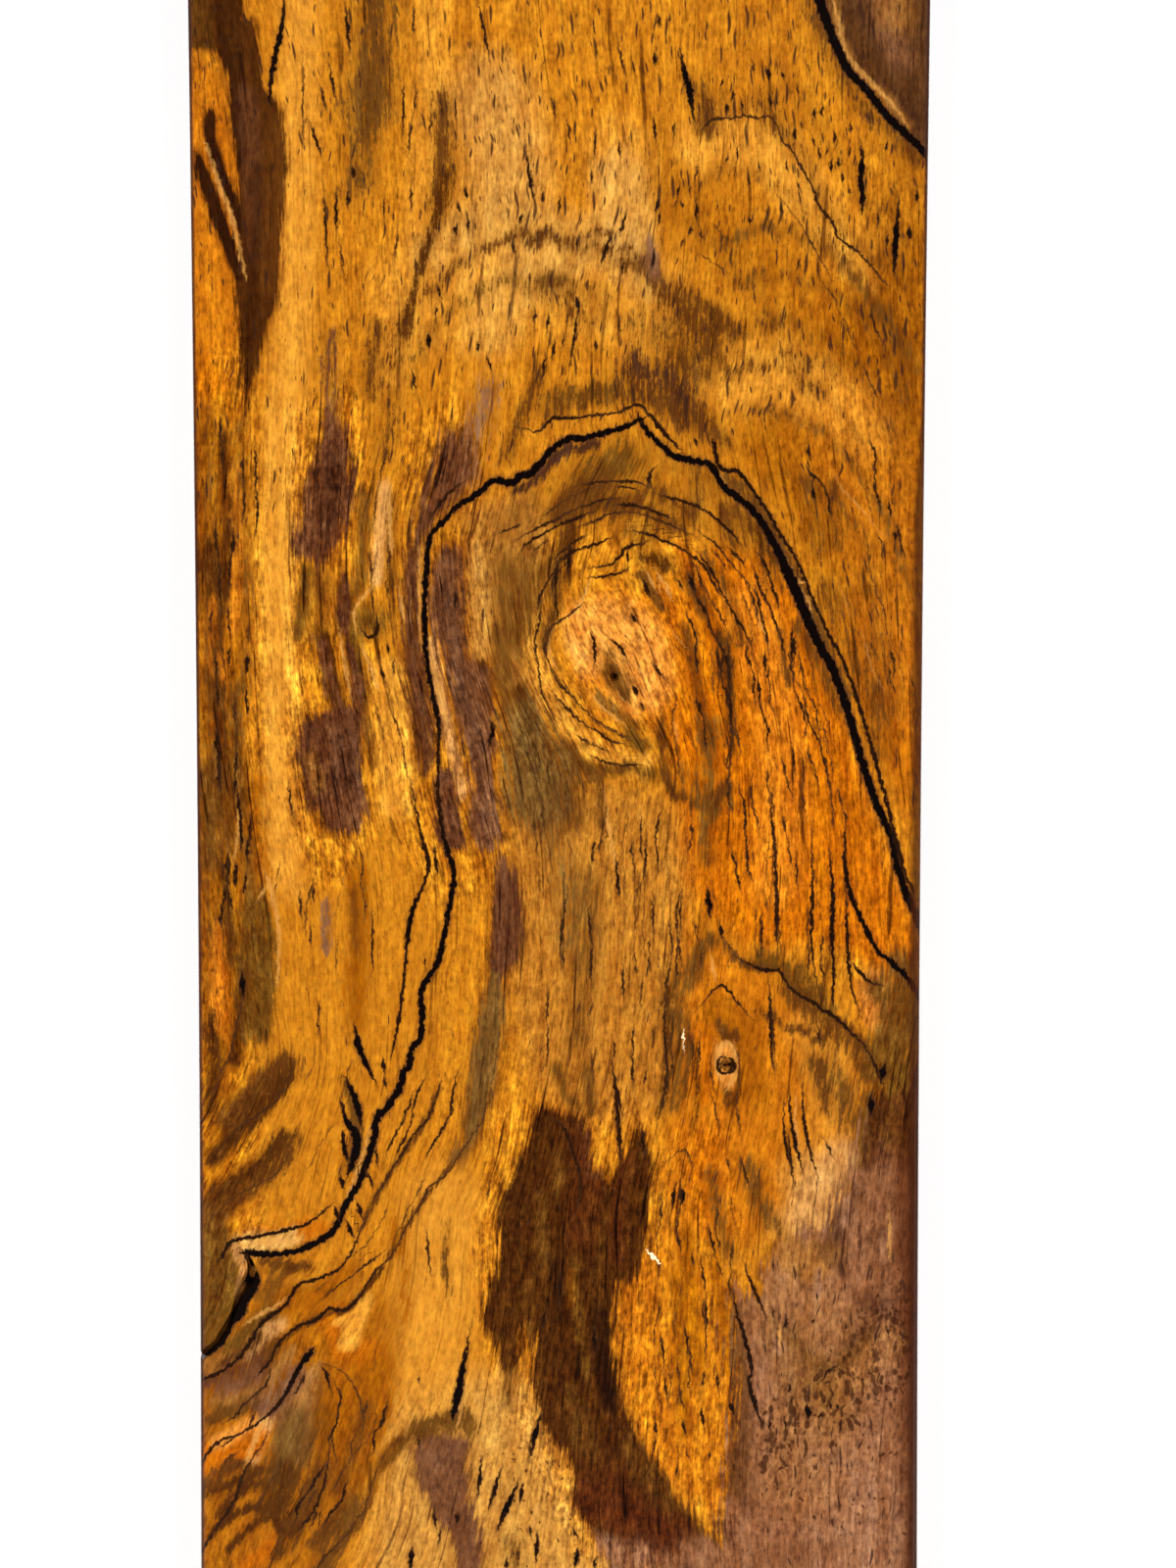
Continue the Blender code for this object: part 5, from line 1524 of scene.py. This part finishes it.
def grain(vector, detail=2.0, roughness=0.5):
    """Smooth noise, from about -1 to 1."""
    node = nodes.new("ShaderNodeTexNoise")
    links.new(vector, node.inputs["Vector"])
    node.inputs["Scale"].default_value = 1.0
    node.inputs["Detail"].default_value = detail
    node.inputs["Roughness"].default_value = roughness
    return sum_of("MULTIPLY_ADD", node.outputs["Fac"], 3.2, -1.6)


def scattered(vector, size, amount):
    """Small scattered ellipsoids: 1 inside them, some left out and the others of mixed sizes."""
    node = nodes.new("ShaderNodeTexVoronoi")
    links.new(vector, node.inputs["Vector"])
    node.inputs["Scale"].default_value = 1.0
    apart = nodes.new("ShaderNodeSeparateXYZ")
    links.new(node.outputs["Color"], apart.inputs[0])
    own = sum_of("SUBTRACT", sum_of("ADD", apart.outputs[0], amount), 1.0)
    own = sum_of("MAXIMUM", sum_of("MULTIPLY", own, size), 0.001)
    return step_down(node.outputs["Distance"], sum_of("MULTIPLY", own, 0.55), own)


def mixed(share, first, second, kind="MIX"):
    """Two colours mixed."""
    node = nodes.new("ShaderNodeMix")
    node.data_type = "RGBA"
    node.blend_type = kind
    put(node.inputs["Factor"], share)
    put(node.inputs[6], first)
    put(node.inputs[7], second)
    return node.outputs[2]


fibre_reader = nodes.new("ShaderNodeAttribute")
fibre_reader.attribute_name = "fibre"
fibre = fibre_reader.outputs["Vector"]
rim_reach = fibre_reader.outputs["Alpha"]
place = nodes.new("ShaderNodeTexCoord").outputs["Object"]

# patterns from the finest to the broadest, and a dusty speckle
speckle = grain(stretched(place, 1500, 850, 1500), 2.0, 0.6)
hair = grain(stretched(fibre, 4.2, 0.9, 2.6), 3.0, 0.7)
fleck = grain(stretched(fibre, 2.3, 0.42, 1.6, 11.0), 2.0, 0.6)
fine_streak = grain(stretched(fibre, 1.7, 0.14, 1.3, 2.0), 3.0, 0.6)
broad_streak = grain(stretched(fibre, 0.42, 0.026, 0.35, 7.0), 4.0, 0.6)
mottle = grain(stretched(place, 520, 260, 520), 4.0, 0.6)
fibre_apart = nodes.new("ShaderNodeSeparateXYZ")
links.new(fibre, fibre_apart.inputs[0])


def strand_set(move, spacing, width, cover):
    """Thin lines that follow the fibres, in millimetres: evenly spaced, then bent and broken up."""
    bend = grain(stretched(fibre, 0.2, 0.016, 0.2, move), 2.0, 0.5)
    across = sum_of("MULTIPLY_ADD", fibre_apart.outputs[0], 1 / spacing, move)
    across = sum_of("MULTIPLY_ADD", fibre_apart.outputs[2], 0.4, across)
    across = sum_of("MULTIPLY_ADD", bend, 1.3, across)
    off = sum_of("MULTIPLY", sum_of("PINGPONG", across, 0.5), spacing)
    shown = grain(stretched(fibre, 0.5, 0.045, 0.5, move + 5.0), 3.0, 0.6)
    shown = sum_of("SUBTRACT", 1.0, step_down(shown, cover, cover + 0.5))
    own = sum_of("MULTIPLY_ADD", shown, width, 0.03)
    return sum_of("MULTIPLY", step_down(off, sum_of("MULTIPLY", own, 0.3), own), shown)


strands = sum_of("MAXIMUM", strand_set(17.0, 2.1, 0.28, 0.0), strand_set(53.0, 1.3, 0.2, 0.2))
pale_strands = sum_of("MAXIMUM", strand_set(71.0, 1.9, 0.3, 0.1), strand_set(29.0, 1.4, 0.2, 0.25))
softness, raggedness, to_edge, streak_share = kept("island")
worm_share, glint_gap, glint_width, _ = kept("worms_and_glints")

# the fine tone, which is streaky in the gold and dusty in the worm-marked purple wood
TONE_PARTS = ((fleck, 0.8), (fine_streak, 0.9), (strands, -1.6), (pale_strands, 0.5))
tone = sum_of("MULTIPLY", hair, 0.62)
for pattern, part in TONE_PARTS:
    tone = sum_of("MULTIPLY_ADD", pattern, part, tone)
tone = sum_of("MULTIPLY", tone, sum_of("MULTIPLY_ADD", worm_share, -0.45, 1.0))
tone = sum_of("MULTIPLY_ADD", speckle, sum_of("MULTIPLY_ADD", worm_share, 0.5, 0.8), tone)
tone = sum_of("MULTIPLY_ADD", sum_of("MAXIMUM", tone, 0.0), -0.35, tone)
tone = sum_of("MULTIPLY", tone, streak_share)

# the broad glow along the board
glow = sum_of("MULTIPLY", broad_streak, 0.6)
glow = sum_of("MULTIPLY_ADD", mottle, 0.6, glow)
glow = sum_of("MULTIPLY", glow, streak_share)

# how strongly the fine tone and the broad glow lift red, green and blue
COLOUR_LIFTS = ((1.0, 0.75), (1.12, 1.15), (1.05, 1.6))
lift_colour = nodes.new("ShaderNodeCombineXYZ")
for index, (from_tone, from_glow) in enumerate(COLOUR_LIFTS):
    power = sum_of("MULTIPLY_ADD", tone, from_tone, sum_of("MULTIPLY", glow, from_glow))
    links.new(sum_of("POWER", 2.0, power), lift_colour.inputs[index])

# the gold dulls at the fringe of the dark islands, and stains break up into threads
FRINGE_TINT = (0.5, 0.42, 0.45, 1)
ground_colour, pore_share = kept("ground", split=False)
dark_colour, gap_to_island = kept("dark", split=False)
rag_noise = grain(stretched(fibre, 1.7, 0.14, 0.8, 3.0), 4.0, 0.7)
gap_ragged = sum_of("MULTIPLY_ADD", rag_noise, sum_of("MULTIPLY", raggedness, 2.6), gap_to_island)
in_island = step_down(gap_ragged, sum_of("MULTIPLY", softness, -1.0), softness)
fringe = step_down(gap_ragged, 0.0, sum_of("MULTIPLY_ADD", softness, 2.0, 0.5))
fringed = mixed(1.0, ground_colour, FRINGE_TINT, "MULTIPLY")
painted = mixed(sum_of("MULTIPLY", fringe, 0.8), ground_colour, fringed)
stain_colour, stain_share = kept("stain", split=False)
thread = sum_of("MULTIPLY_ADD", hair, 0.8, sum_of("MULTIPLY", speckle, 0.7))
thread = sum_of("MULTIPLY_ADD", fine_streak, 1.3, thread)
stain_level = sum_of("MULTIPLY_ADD", stain_share, 1.9, sum_of("SUBTRACT", thread, 1.0))
stain_shown = sum_of("SUBTRACT", 1.0, step_down(stain_level, -0.6, 0.7))
stain_shown = sum_of("MULTIPLY", stain_shown, sum_of("MULTIPLY", stain_share, 4.0, clamp=True))
painted = mixed(stain_shown, painted, stain_colour)
painted = mixed(in_island, painted, dark_colour)
painted = mixed(1.0, painted, lift_colour.outputs[0], "MULTIPLY")

# the open pores: dark dashes that sway a little to the sides
PORE_COLOUR = (0.024, 0.006, 0.0015, 1)
sway = grain(stretched(fibre, 0.12, 0.16, 0.1, 23.0), 1.0, 0.5)
swayed = plus_scaled(sway, (0.8, 0, 0), fibre)
long_pores = scattered(stretched(swayed, 1.0, 0.15, 1.0), 0.3, pore_share)
short_pores = scattered(stretched(swayed, 1.3, 0.28, 1.2, 31.0), 0.26, pore_share)
pores = sum_of("MAXIMUM", long_pores, short_pores)
painted = mixed(sum_of("MULTIPLY", pores, 0.86), painted, PORE_COLOUR)

wobble = grain(stretched(place, 1400, 900, 1400, 5.0), 2.0, 0.5)


def drawn(gap, width, soft_by=0.12):
    """How much of a line shows: its gap field, made a little uneven, against its half width."""
    uneven = sum_of("MULTIPLY_ADD", wobble, 0.32, sum_of("MULTIPLY_ADD", hair, 0.16, gap))
    uneven = sum_of("ABSOLUTE", uneven)
    line = step_down(uneven, sum_of("SUBTRACT", width, soft_by), sum_of("ADD", width, soft_by))
    return sum_of("MULTIPLY", line, sum_of("MULTIPLY", width, 6.0, clamp=True))


CREAM_COLOUR = (0.45, 0.205, 0.042, 1)
HALO_COLOUR = (0.07, 0.022, 0.006, 1)
INK_COLOUR = (0.002, 0.0006, 0.0004, 1)
BROWN_INK = (0.012, 0.0035, 0.001, 1)
THIN_INK = (0.04, 0.014, 0.004, 1)
# the colour of the painted shade on the rim along the long edges
RIM_SHADE_COLOUR = (0.03, 0.007, 0.002, 1)
# the colour of the painted highlights in three pores
GLINT_COLOUR = (0.85, 0.62, 0.36, 1)

# the pale lines, and over them the ink lines, thin and brown or wide and black, in a brown halo
BROWN_FROM, BROWN_TO = 0.1, 0.26
BLACK_FROM, BLACK_TO = 0.26, 0.45
first_gap, first_width, second_gap, second_width = kept("creams")
cream = sum_of("MAXIMUM", drawn(first_gap, first_width, 0.25), drawn(second_gap, second_width, 0.25))
cream = sum_of("MULTIPLY", cream, sum_of("MULTIPLY_ADD", thread, 0.35, 0.6, clamp=True))
painted = mixed(cream, painted, CREAM_COLOUR)
inks = kept("inks_one") + kept("inks_two")
for gap, width in zip(inks[::2], inks[1::2]):
    halo = drawn(gap, sum_of("MULTIPLY_ADD", width, 1.15, sum_of("MULTIPLY", width, 0.35)), 0.42)
    halo = sum_of("MULTIPLY", halo, sum_of("MULTIPLY_ADD", width, 1.9, -0.25, clamp=True))
    painted = mixed(sum_of("MULTIPLY", halo, 0.8), painted, HALO_COLOUR)
    brown = sum_of("SUBTRACT", 1.0, step_down(width, BROWN_FROM, BROWN_TO))
    ink = mixed(brown, THIN_INK, BROWN_INK)
    black = sum_of("SUBTRACT", 1.0, step_down(width, BLACK_FROM, BLACK_TO))
    ink = mixed(black, ink, INK_COLOUR)
    painted = mixed(drawn(gap, width), painted, ink)

# the dark rim along the long edges: painted shade over the eased corners and the long sides
rim = step_down(to_edge, sum_of("MULTIPLY", rim_reach, 0.6), sum_of("MULTIPLY", rim_reach, 1.5))
painted = mixed(sum_of("MULTIPLY", rim, 0.85), painted, RIM_SHADE_COLOUR)

# short curled marks in the purple wood, and painted highlights: glints of light in three pores
worm_bend = nodes.new("ShaderNodeTexNoise")
links.new(stretched(place, 260, 260, 260, 3.0), worm_bend.inputs["Vector"])
worm_bend.inputs["Scale"].default_value = 1.0
bent = plus_scaled(worm_bend.outputs["Color"], (4.0, 4.0, 0), stretched(place, 1000, 560, 1000))
bent_worms = scattered(bent, 0.55, worm_share)
worms = sum_of("MAXIMUM", bent_worms, scattered(stretched(place, 700, 420, 700), 0.36, worm_share))
painted = mixed(sum_of("MULTIPLY", worms, 0.8), painted, PORE_COLOUR)
painted = mixed(drawn(glint_gap, glint_width, 0.1), painted, GLINT_COLOUR)
put(shader.inputs["Base Color"], painted)

# the sheen of the oil, duller in the pores
OILED_ROUGHNESS = 0.28
OILED_SHINE = 0.09
BUMP_STRENGTH = 0.35
BUMP_HEIGHT = 0.06 * MM
gloss = sum_of("MULTIPLY_ADD", fine_streak, 0.04, OILED_ROUGHNESS)
gloss = sum_of("MULTIPLY_ADD", pores, 0.12, gloss)
put(shader.inputs["Roughness"], gloss)
shader.inputs["Specular IOR Level"].default_value = OILED_SHINE
bump = nodes.new("ShaderNodeBump")
bump.inputs["Strength"].default_value = BUMP_STRENGTH
bump.inputs["Distance"].default_value = BUMP_HEIGHT
bump_height = sum_of("MULTIPLY_ADD", fine_streak, 0.2, sum_of("MULTIPLY", pores, -1.0))
put(bump.inputs["Height"], bump_height)
put(shader.inputs["Normal"], bump.outputs["Normal"])

wood.materials.clear()
wood.materials.append(finish)


# The planed surface: the cutter and the sandpaper leave hard and soft wood a little uneven, as
# shallow ripples across the fibres and finer grooves along them, all below the planed level.
relief = bpy.data.node_groups.new("planed_surface", "GeometryNodeTree")
relief.interface.new_socket("Board", in_out="OUTPUT", socket_type="NodeSocketGeometry")
relief.interface.new_socket("Board", in_out="INPUT", socket_type="NodeSocketGeometry")
RELIEF_SIZES = (
    # input, its kind, its value; spacings are in mm
    ("Ripple depth", "NodeSocketFloat", 0.05 * MM),
    ("Ripple spacing", "NodeSocketFloat", 6.0),
    ("Groove depth", "NodeSocketFloat", 0.03 * MM),
    ("Groove spacing", "NodeSocketFloat", 1.6),
    ("Seed", "NodeSocketInt", 7),
    ("Finish", "NodeSocketMaterial", finish),
)
inputs = {}
for name, kind, _ in RELIEF_SIZES:
    inputs[name] = relief.interface.new_socket(name, in_out="INPUT", socket_type=kind).identifier


def relief_node(kind, **settings):
    """A node of the relief."""
    node = relief.nodes.new(kind)
    for name, value in settings.items():
        setattr(node, name, value)
    return node


def relief_sum(operation, *values):
    """One arithmetic step of the relief."""
    node = relief_node("ShaderNodeMath", operation=operation)
    for socket, value in zip(node.inputs, values):
        if isinstance(value, (int, float)):
            socket.default_value = value
        else:
            relief.links.new(value, socket)
    return node.outputs[0]


given = relief_node("NodeGroupInput")
made = relief_node("NodeGroupOutput")
run_of_fibre = relief_node("GeometryNodeInputNamedAttribute", data_type="FLOAT_VECTOR")
run_of_fibre.inputs["Name"].default_value = "fibre"
fibre_parts = relief_node("ShaderNodeSeparateXYZ")
relief.links.new(run_of_fibre.outputs["Attribute"], fibre_parts.inputs[0])


def waves(spacing, stretch):
    """Uneven waves across the fibres, from 0 to 1, drawn out along them."""
    scaled = relief_node("ShaderNodeCombineXYZ")
    relief.links.new(relief_sum("DIVIDE", fibre_parts.outputs[0], spacing), scaled.inputs[0])
    long_way = relief_sum("DIVIDE", fibre_parts.outputs[1], relief_sum("MULTIPLY", spacing, stretch))
    relief.links.new(long_way, scaled.inputs[1])
    noise = relief_node("ShaderNodeTexNoise", noise_dimensions="4D")
    relief.links.new(scaled.outputs[0], noise.inputs["Vector"])
    relief.links.new(given.outputs["Seed"], noise.inputs["W"])
    noise.inputs["Scale"].default_value = 1.0
    return noise.outputs["Fac"]


RIPPLE_STRETCH = 6.0
GROOVE_STRETCH = 9.0
LEVEL_SLACK = 0.02
ripples = waves(given.outputs["Ripple spacing"], RIPPLE_STRETCH)
grooves = waves(given.outputs["Groove spacing"], GROOVE_STRETCH)
ripples = relief_sum("MULTIPLY", ripples, given.outputs["Ripple depth"])
grooves = relief_sum("MULTIPLY", grooves, given.outputs["Groove depth"])
face_only = relief_sum("LESS_THAN", fibre_parts.outputs[2], LEVEL_SLACK)
sunk = relief_sum("MULTIPLY", relief_sum("ADD", ripples, grooves), face_only)
down = relief_node("ShaderNodeCombineXYZ")
relief.links.new(relief_sum("MULTIPLY", sunk, -1.0), down.inputs[2])
pressed = relief_node("GeometryNodeSetPosition")
relief.links.new(given.outputs["Board"], pressed.inputs["Geometry"])
relief.links.new(down.outputs[0], pressed.inputs["Offset"])
realised = relief_node("GeometryNodeRealizeInstances")
relief.links.new(pressed.outputs[0], realised.inputs[0])
painted_board = relief_node("GeometryNodeSetMaterial")
relief.links.new(realised.outputs[0], painted_board.inputs["Geometry"])
relief.links.new(given.outputs["Finish"], painted_board.inputs["Material"])
relief.links.new(painted_board.outputs[0], made.inputs[0])

planing = board.modifiers.new("planed_surface", "NODES")
planing.node_group = relief
for name, _, value in RELIEF_SIZES:
    planing[inputs[name]] = value
seen_board = board.evaluated_get(bpy.context.evaluated_depsgraph_get())
wood = bpy.data.meshes.new_from_object(seen_board)
board.modifiers.clear()
board.data = wood


# The layout of the baked picture: the figured face gets two thirds of its width, and the back,
# the long edges and the ends share the rest. Starts and widths are shares of the picture.
LAYOUT_MARGIN = 0.01
LAYOUT_LENGTH = 0.91
FACE_SHARE = 0.66
BACK_START = 0.69
BACK_SHARE = 0.18
LEFT_EDGE_START = 0.885
RIGHT_EDGE_START = 0.94
EDGE_SHARE = 0.04
NEAR_END_START = 0.935
FAR_END_START = 0.967
END_SHARE = 0.025
FACING_LEAST = 0.6
SHARP_ANGLE = math.radians(40)
corners = np.empty(len(wood.loops), dtype=np.int32)
wood.loops.foreach_get("vertex_index", corners)
level = np.empty(len(wood.vertices) * 3, dtype=np.float32)
wood.vertices.foreach_get("co", level)
corner_spots = level.reshape(-1, 3)[corners] / MM
sizes_of_faces = np.empty(len(wood.polygons), dtype=np.int32)
wood.polygons.foreach_get("loop_total", sizes_of_faces)
facing = np.empty(len(wood.polygons) * 3, dtype=np.float32)
wood.polygons.foreach_get("normal", facing)
facing = np.repeat(facing.reshape(-1, 3), sizes_of_faces, axis=0)
share_across = corner_spots[:, 0] / END_WIDTH + 0.5
share_along = corner_spots[:, 1] / BOARD_LENGTH + 0.5
share_up = corner_spots[:, 2] / BOARD_THICKNESS
at_side = np.abs(corner_spots[:, 0]) > END_WIDTH / 2 - EDGE_HOLLOW - EASED_RADIUS
at_end = np.abs(corner_spots[:, 1]) > BOARD_LENGTH / 2 - EASED_RADIUS
upright = np.abs(facing[:, 2]) < FACING_LEAST
edge = at_side & upright & (np.abs(facing[:, 0]) > FACING_LEAST)
end = at_end & upright & (np.abs(facing[:, 1]) > FACING_LEAST)
on_face = LAYOUT_MARGIN + FACE_SHARE * share_across
on_back = BACK_START + BACK_SHARE * share_across
across_sheet = np.where(facing[:, 2] < -FACING_LEAST, on_back, on_face)
along_sheet = LAYOUT_MARGIN + LAYOUT_LENGTH * share_along
edge_start = np.where(corner_spots[:, 0] < 0, LEFT_EDGE_START, RIGHT_EDGE_START)
across_sheet = np.where(edge, edge_start + EDGE_SHARE * share_up, across_sheet)
end_start = np.where(corner_spots[:, 1] < 0, NEAR_END_START, FAR_END_START)
along_sheet = np.where(end, end_start + END_SHARE * share_up, along_sheet)
on_sheet = np.column_stack((across_sheet, along_sheet)).astype(np.float32)
layout = wood.uv_layers.new(name="OFBake")
layout.data.foreach_set("uv", on_sheet.ravel())
wood.uv_layers.active = layout
wood.shade_smooth()
wood.set_sharp_from_angle(angle=SHARP_ANGLE)
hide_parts("board")
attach(board, "root")


# The studio: a pale floor that the board lies on, and four wide soft lights, low at the sides
# so that none of them shines back off the oiled face into the camera.
FLOOR_SIDE = 6.0
FLOOR_COLOUR = (0.93, 0.93, 0.93, 1)
FLOOR_ROUGHNESS = 0.8
FLOOR_SHINE = 0.1
floor_build = bmesh.new()
bmesh.ops.create_grid(floor_build, x_segments=2, y_segments=2, size=FLOOR_SIDE / 2)
floor_mesh = bpy.data.meshes.new("floor")
floor_build.to_mesh(floor_mesh)
floor_build.free()
floor = add_object("floor", floor_mesh)
pale = bpy.data.materials.new("pale_floor")
pale.use_nodes = True
pale_shader = pale.node_tree.nodes["Principled BSDF"]
pale_shader.inputs["Base Color"].default_value = FLOOR_COLOUR
pale_shader.inputs["Roughness"].default_value = FLOOR_ROUGHNESS
pale_shader.inputs["Specular IOR Level"].default_value = FLOOR_SHINE
floor_mesh.materials.append(pale)

LIGHT_SIDE = 1.0
LIGHT_AWAY = 1.3
LIGHT_RISE = math.radians(38)
LIGHT_POWER = 15.4
for turn in range(4):
    heading = math.radians(45 + 90 * turn)
    lamp = bpy.data.lights.new("soft_light", "AREA")
    lamp.size = LIGHT_SIDE
    lamp.energy = LIGHT_POWER
    lamp_object = add_object("soft_light", lamp)
    lamp_object.location = (
        LIGHT_AWAY * math.cos(LIGHT_RISE) * math.cos(heading),
        LIGHT_AWAY * math.cos(LIGHT_RISE) * math.sin(heading),
        LIGHT_AWAY * math.sin(LIGHT_RISE),
    )
    lamp_object.rotation_euler = (math.pi / 2 - LIGHT_RISE, 0, heading + math.pi / 2)

# the sky is white to the camera, and gives the board hardly any light
SKY_SEEN = 1.0
SKY_LIGHT = 0.03
sky = bpy.data.worlds.new("studio")
sky.use_nodes = True
sky_nodes = sky.node_tree.nodes
sky_links = sky.node_tree.links
backdrop = sky_nodes["Background"]
seen = sky_nodes.new("ShaderNodeLightPath")
brightness = sky_nodes.new("ShaderNodeMapRange")
sky_links.new(seen.outputs["Is Camera Ray"], brightness.inputs["Value"])
brightness.inputs["To Min"].default_value = SKY_LIGHT
brightness.inputs["To Max"].default_value = SKY_SEEN
sky_links.new(brightness.outputs["Result"], backdrop.inputs["Strength"])
backdrop.inputs["Color"].default_value = (1, 1, 1, 1)
bpy.context.scene.world = sky
bpy.context.scene.view_settings.view_transform = "Standard"
bpy.context.scene.view_settings.look = "None"
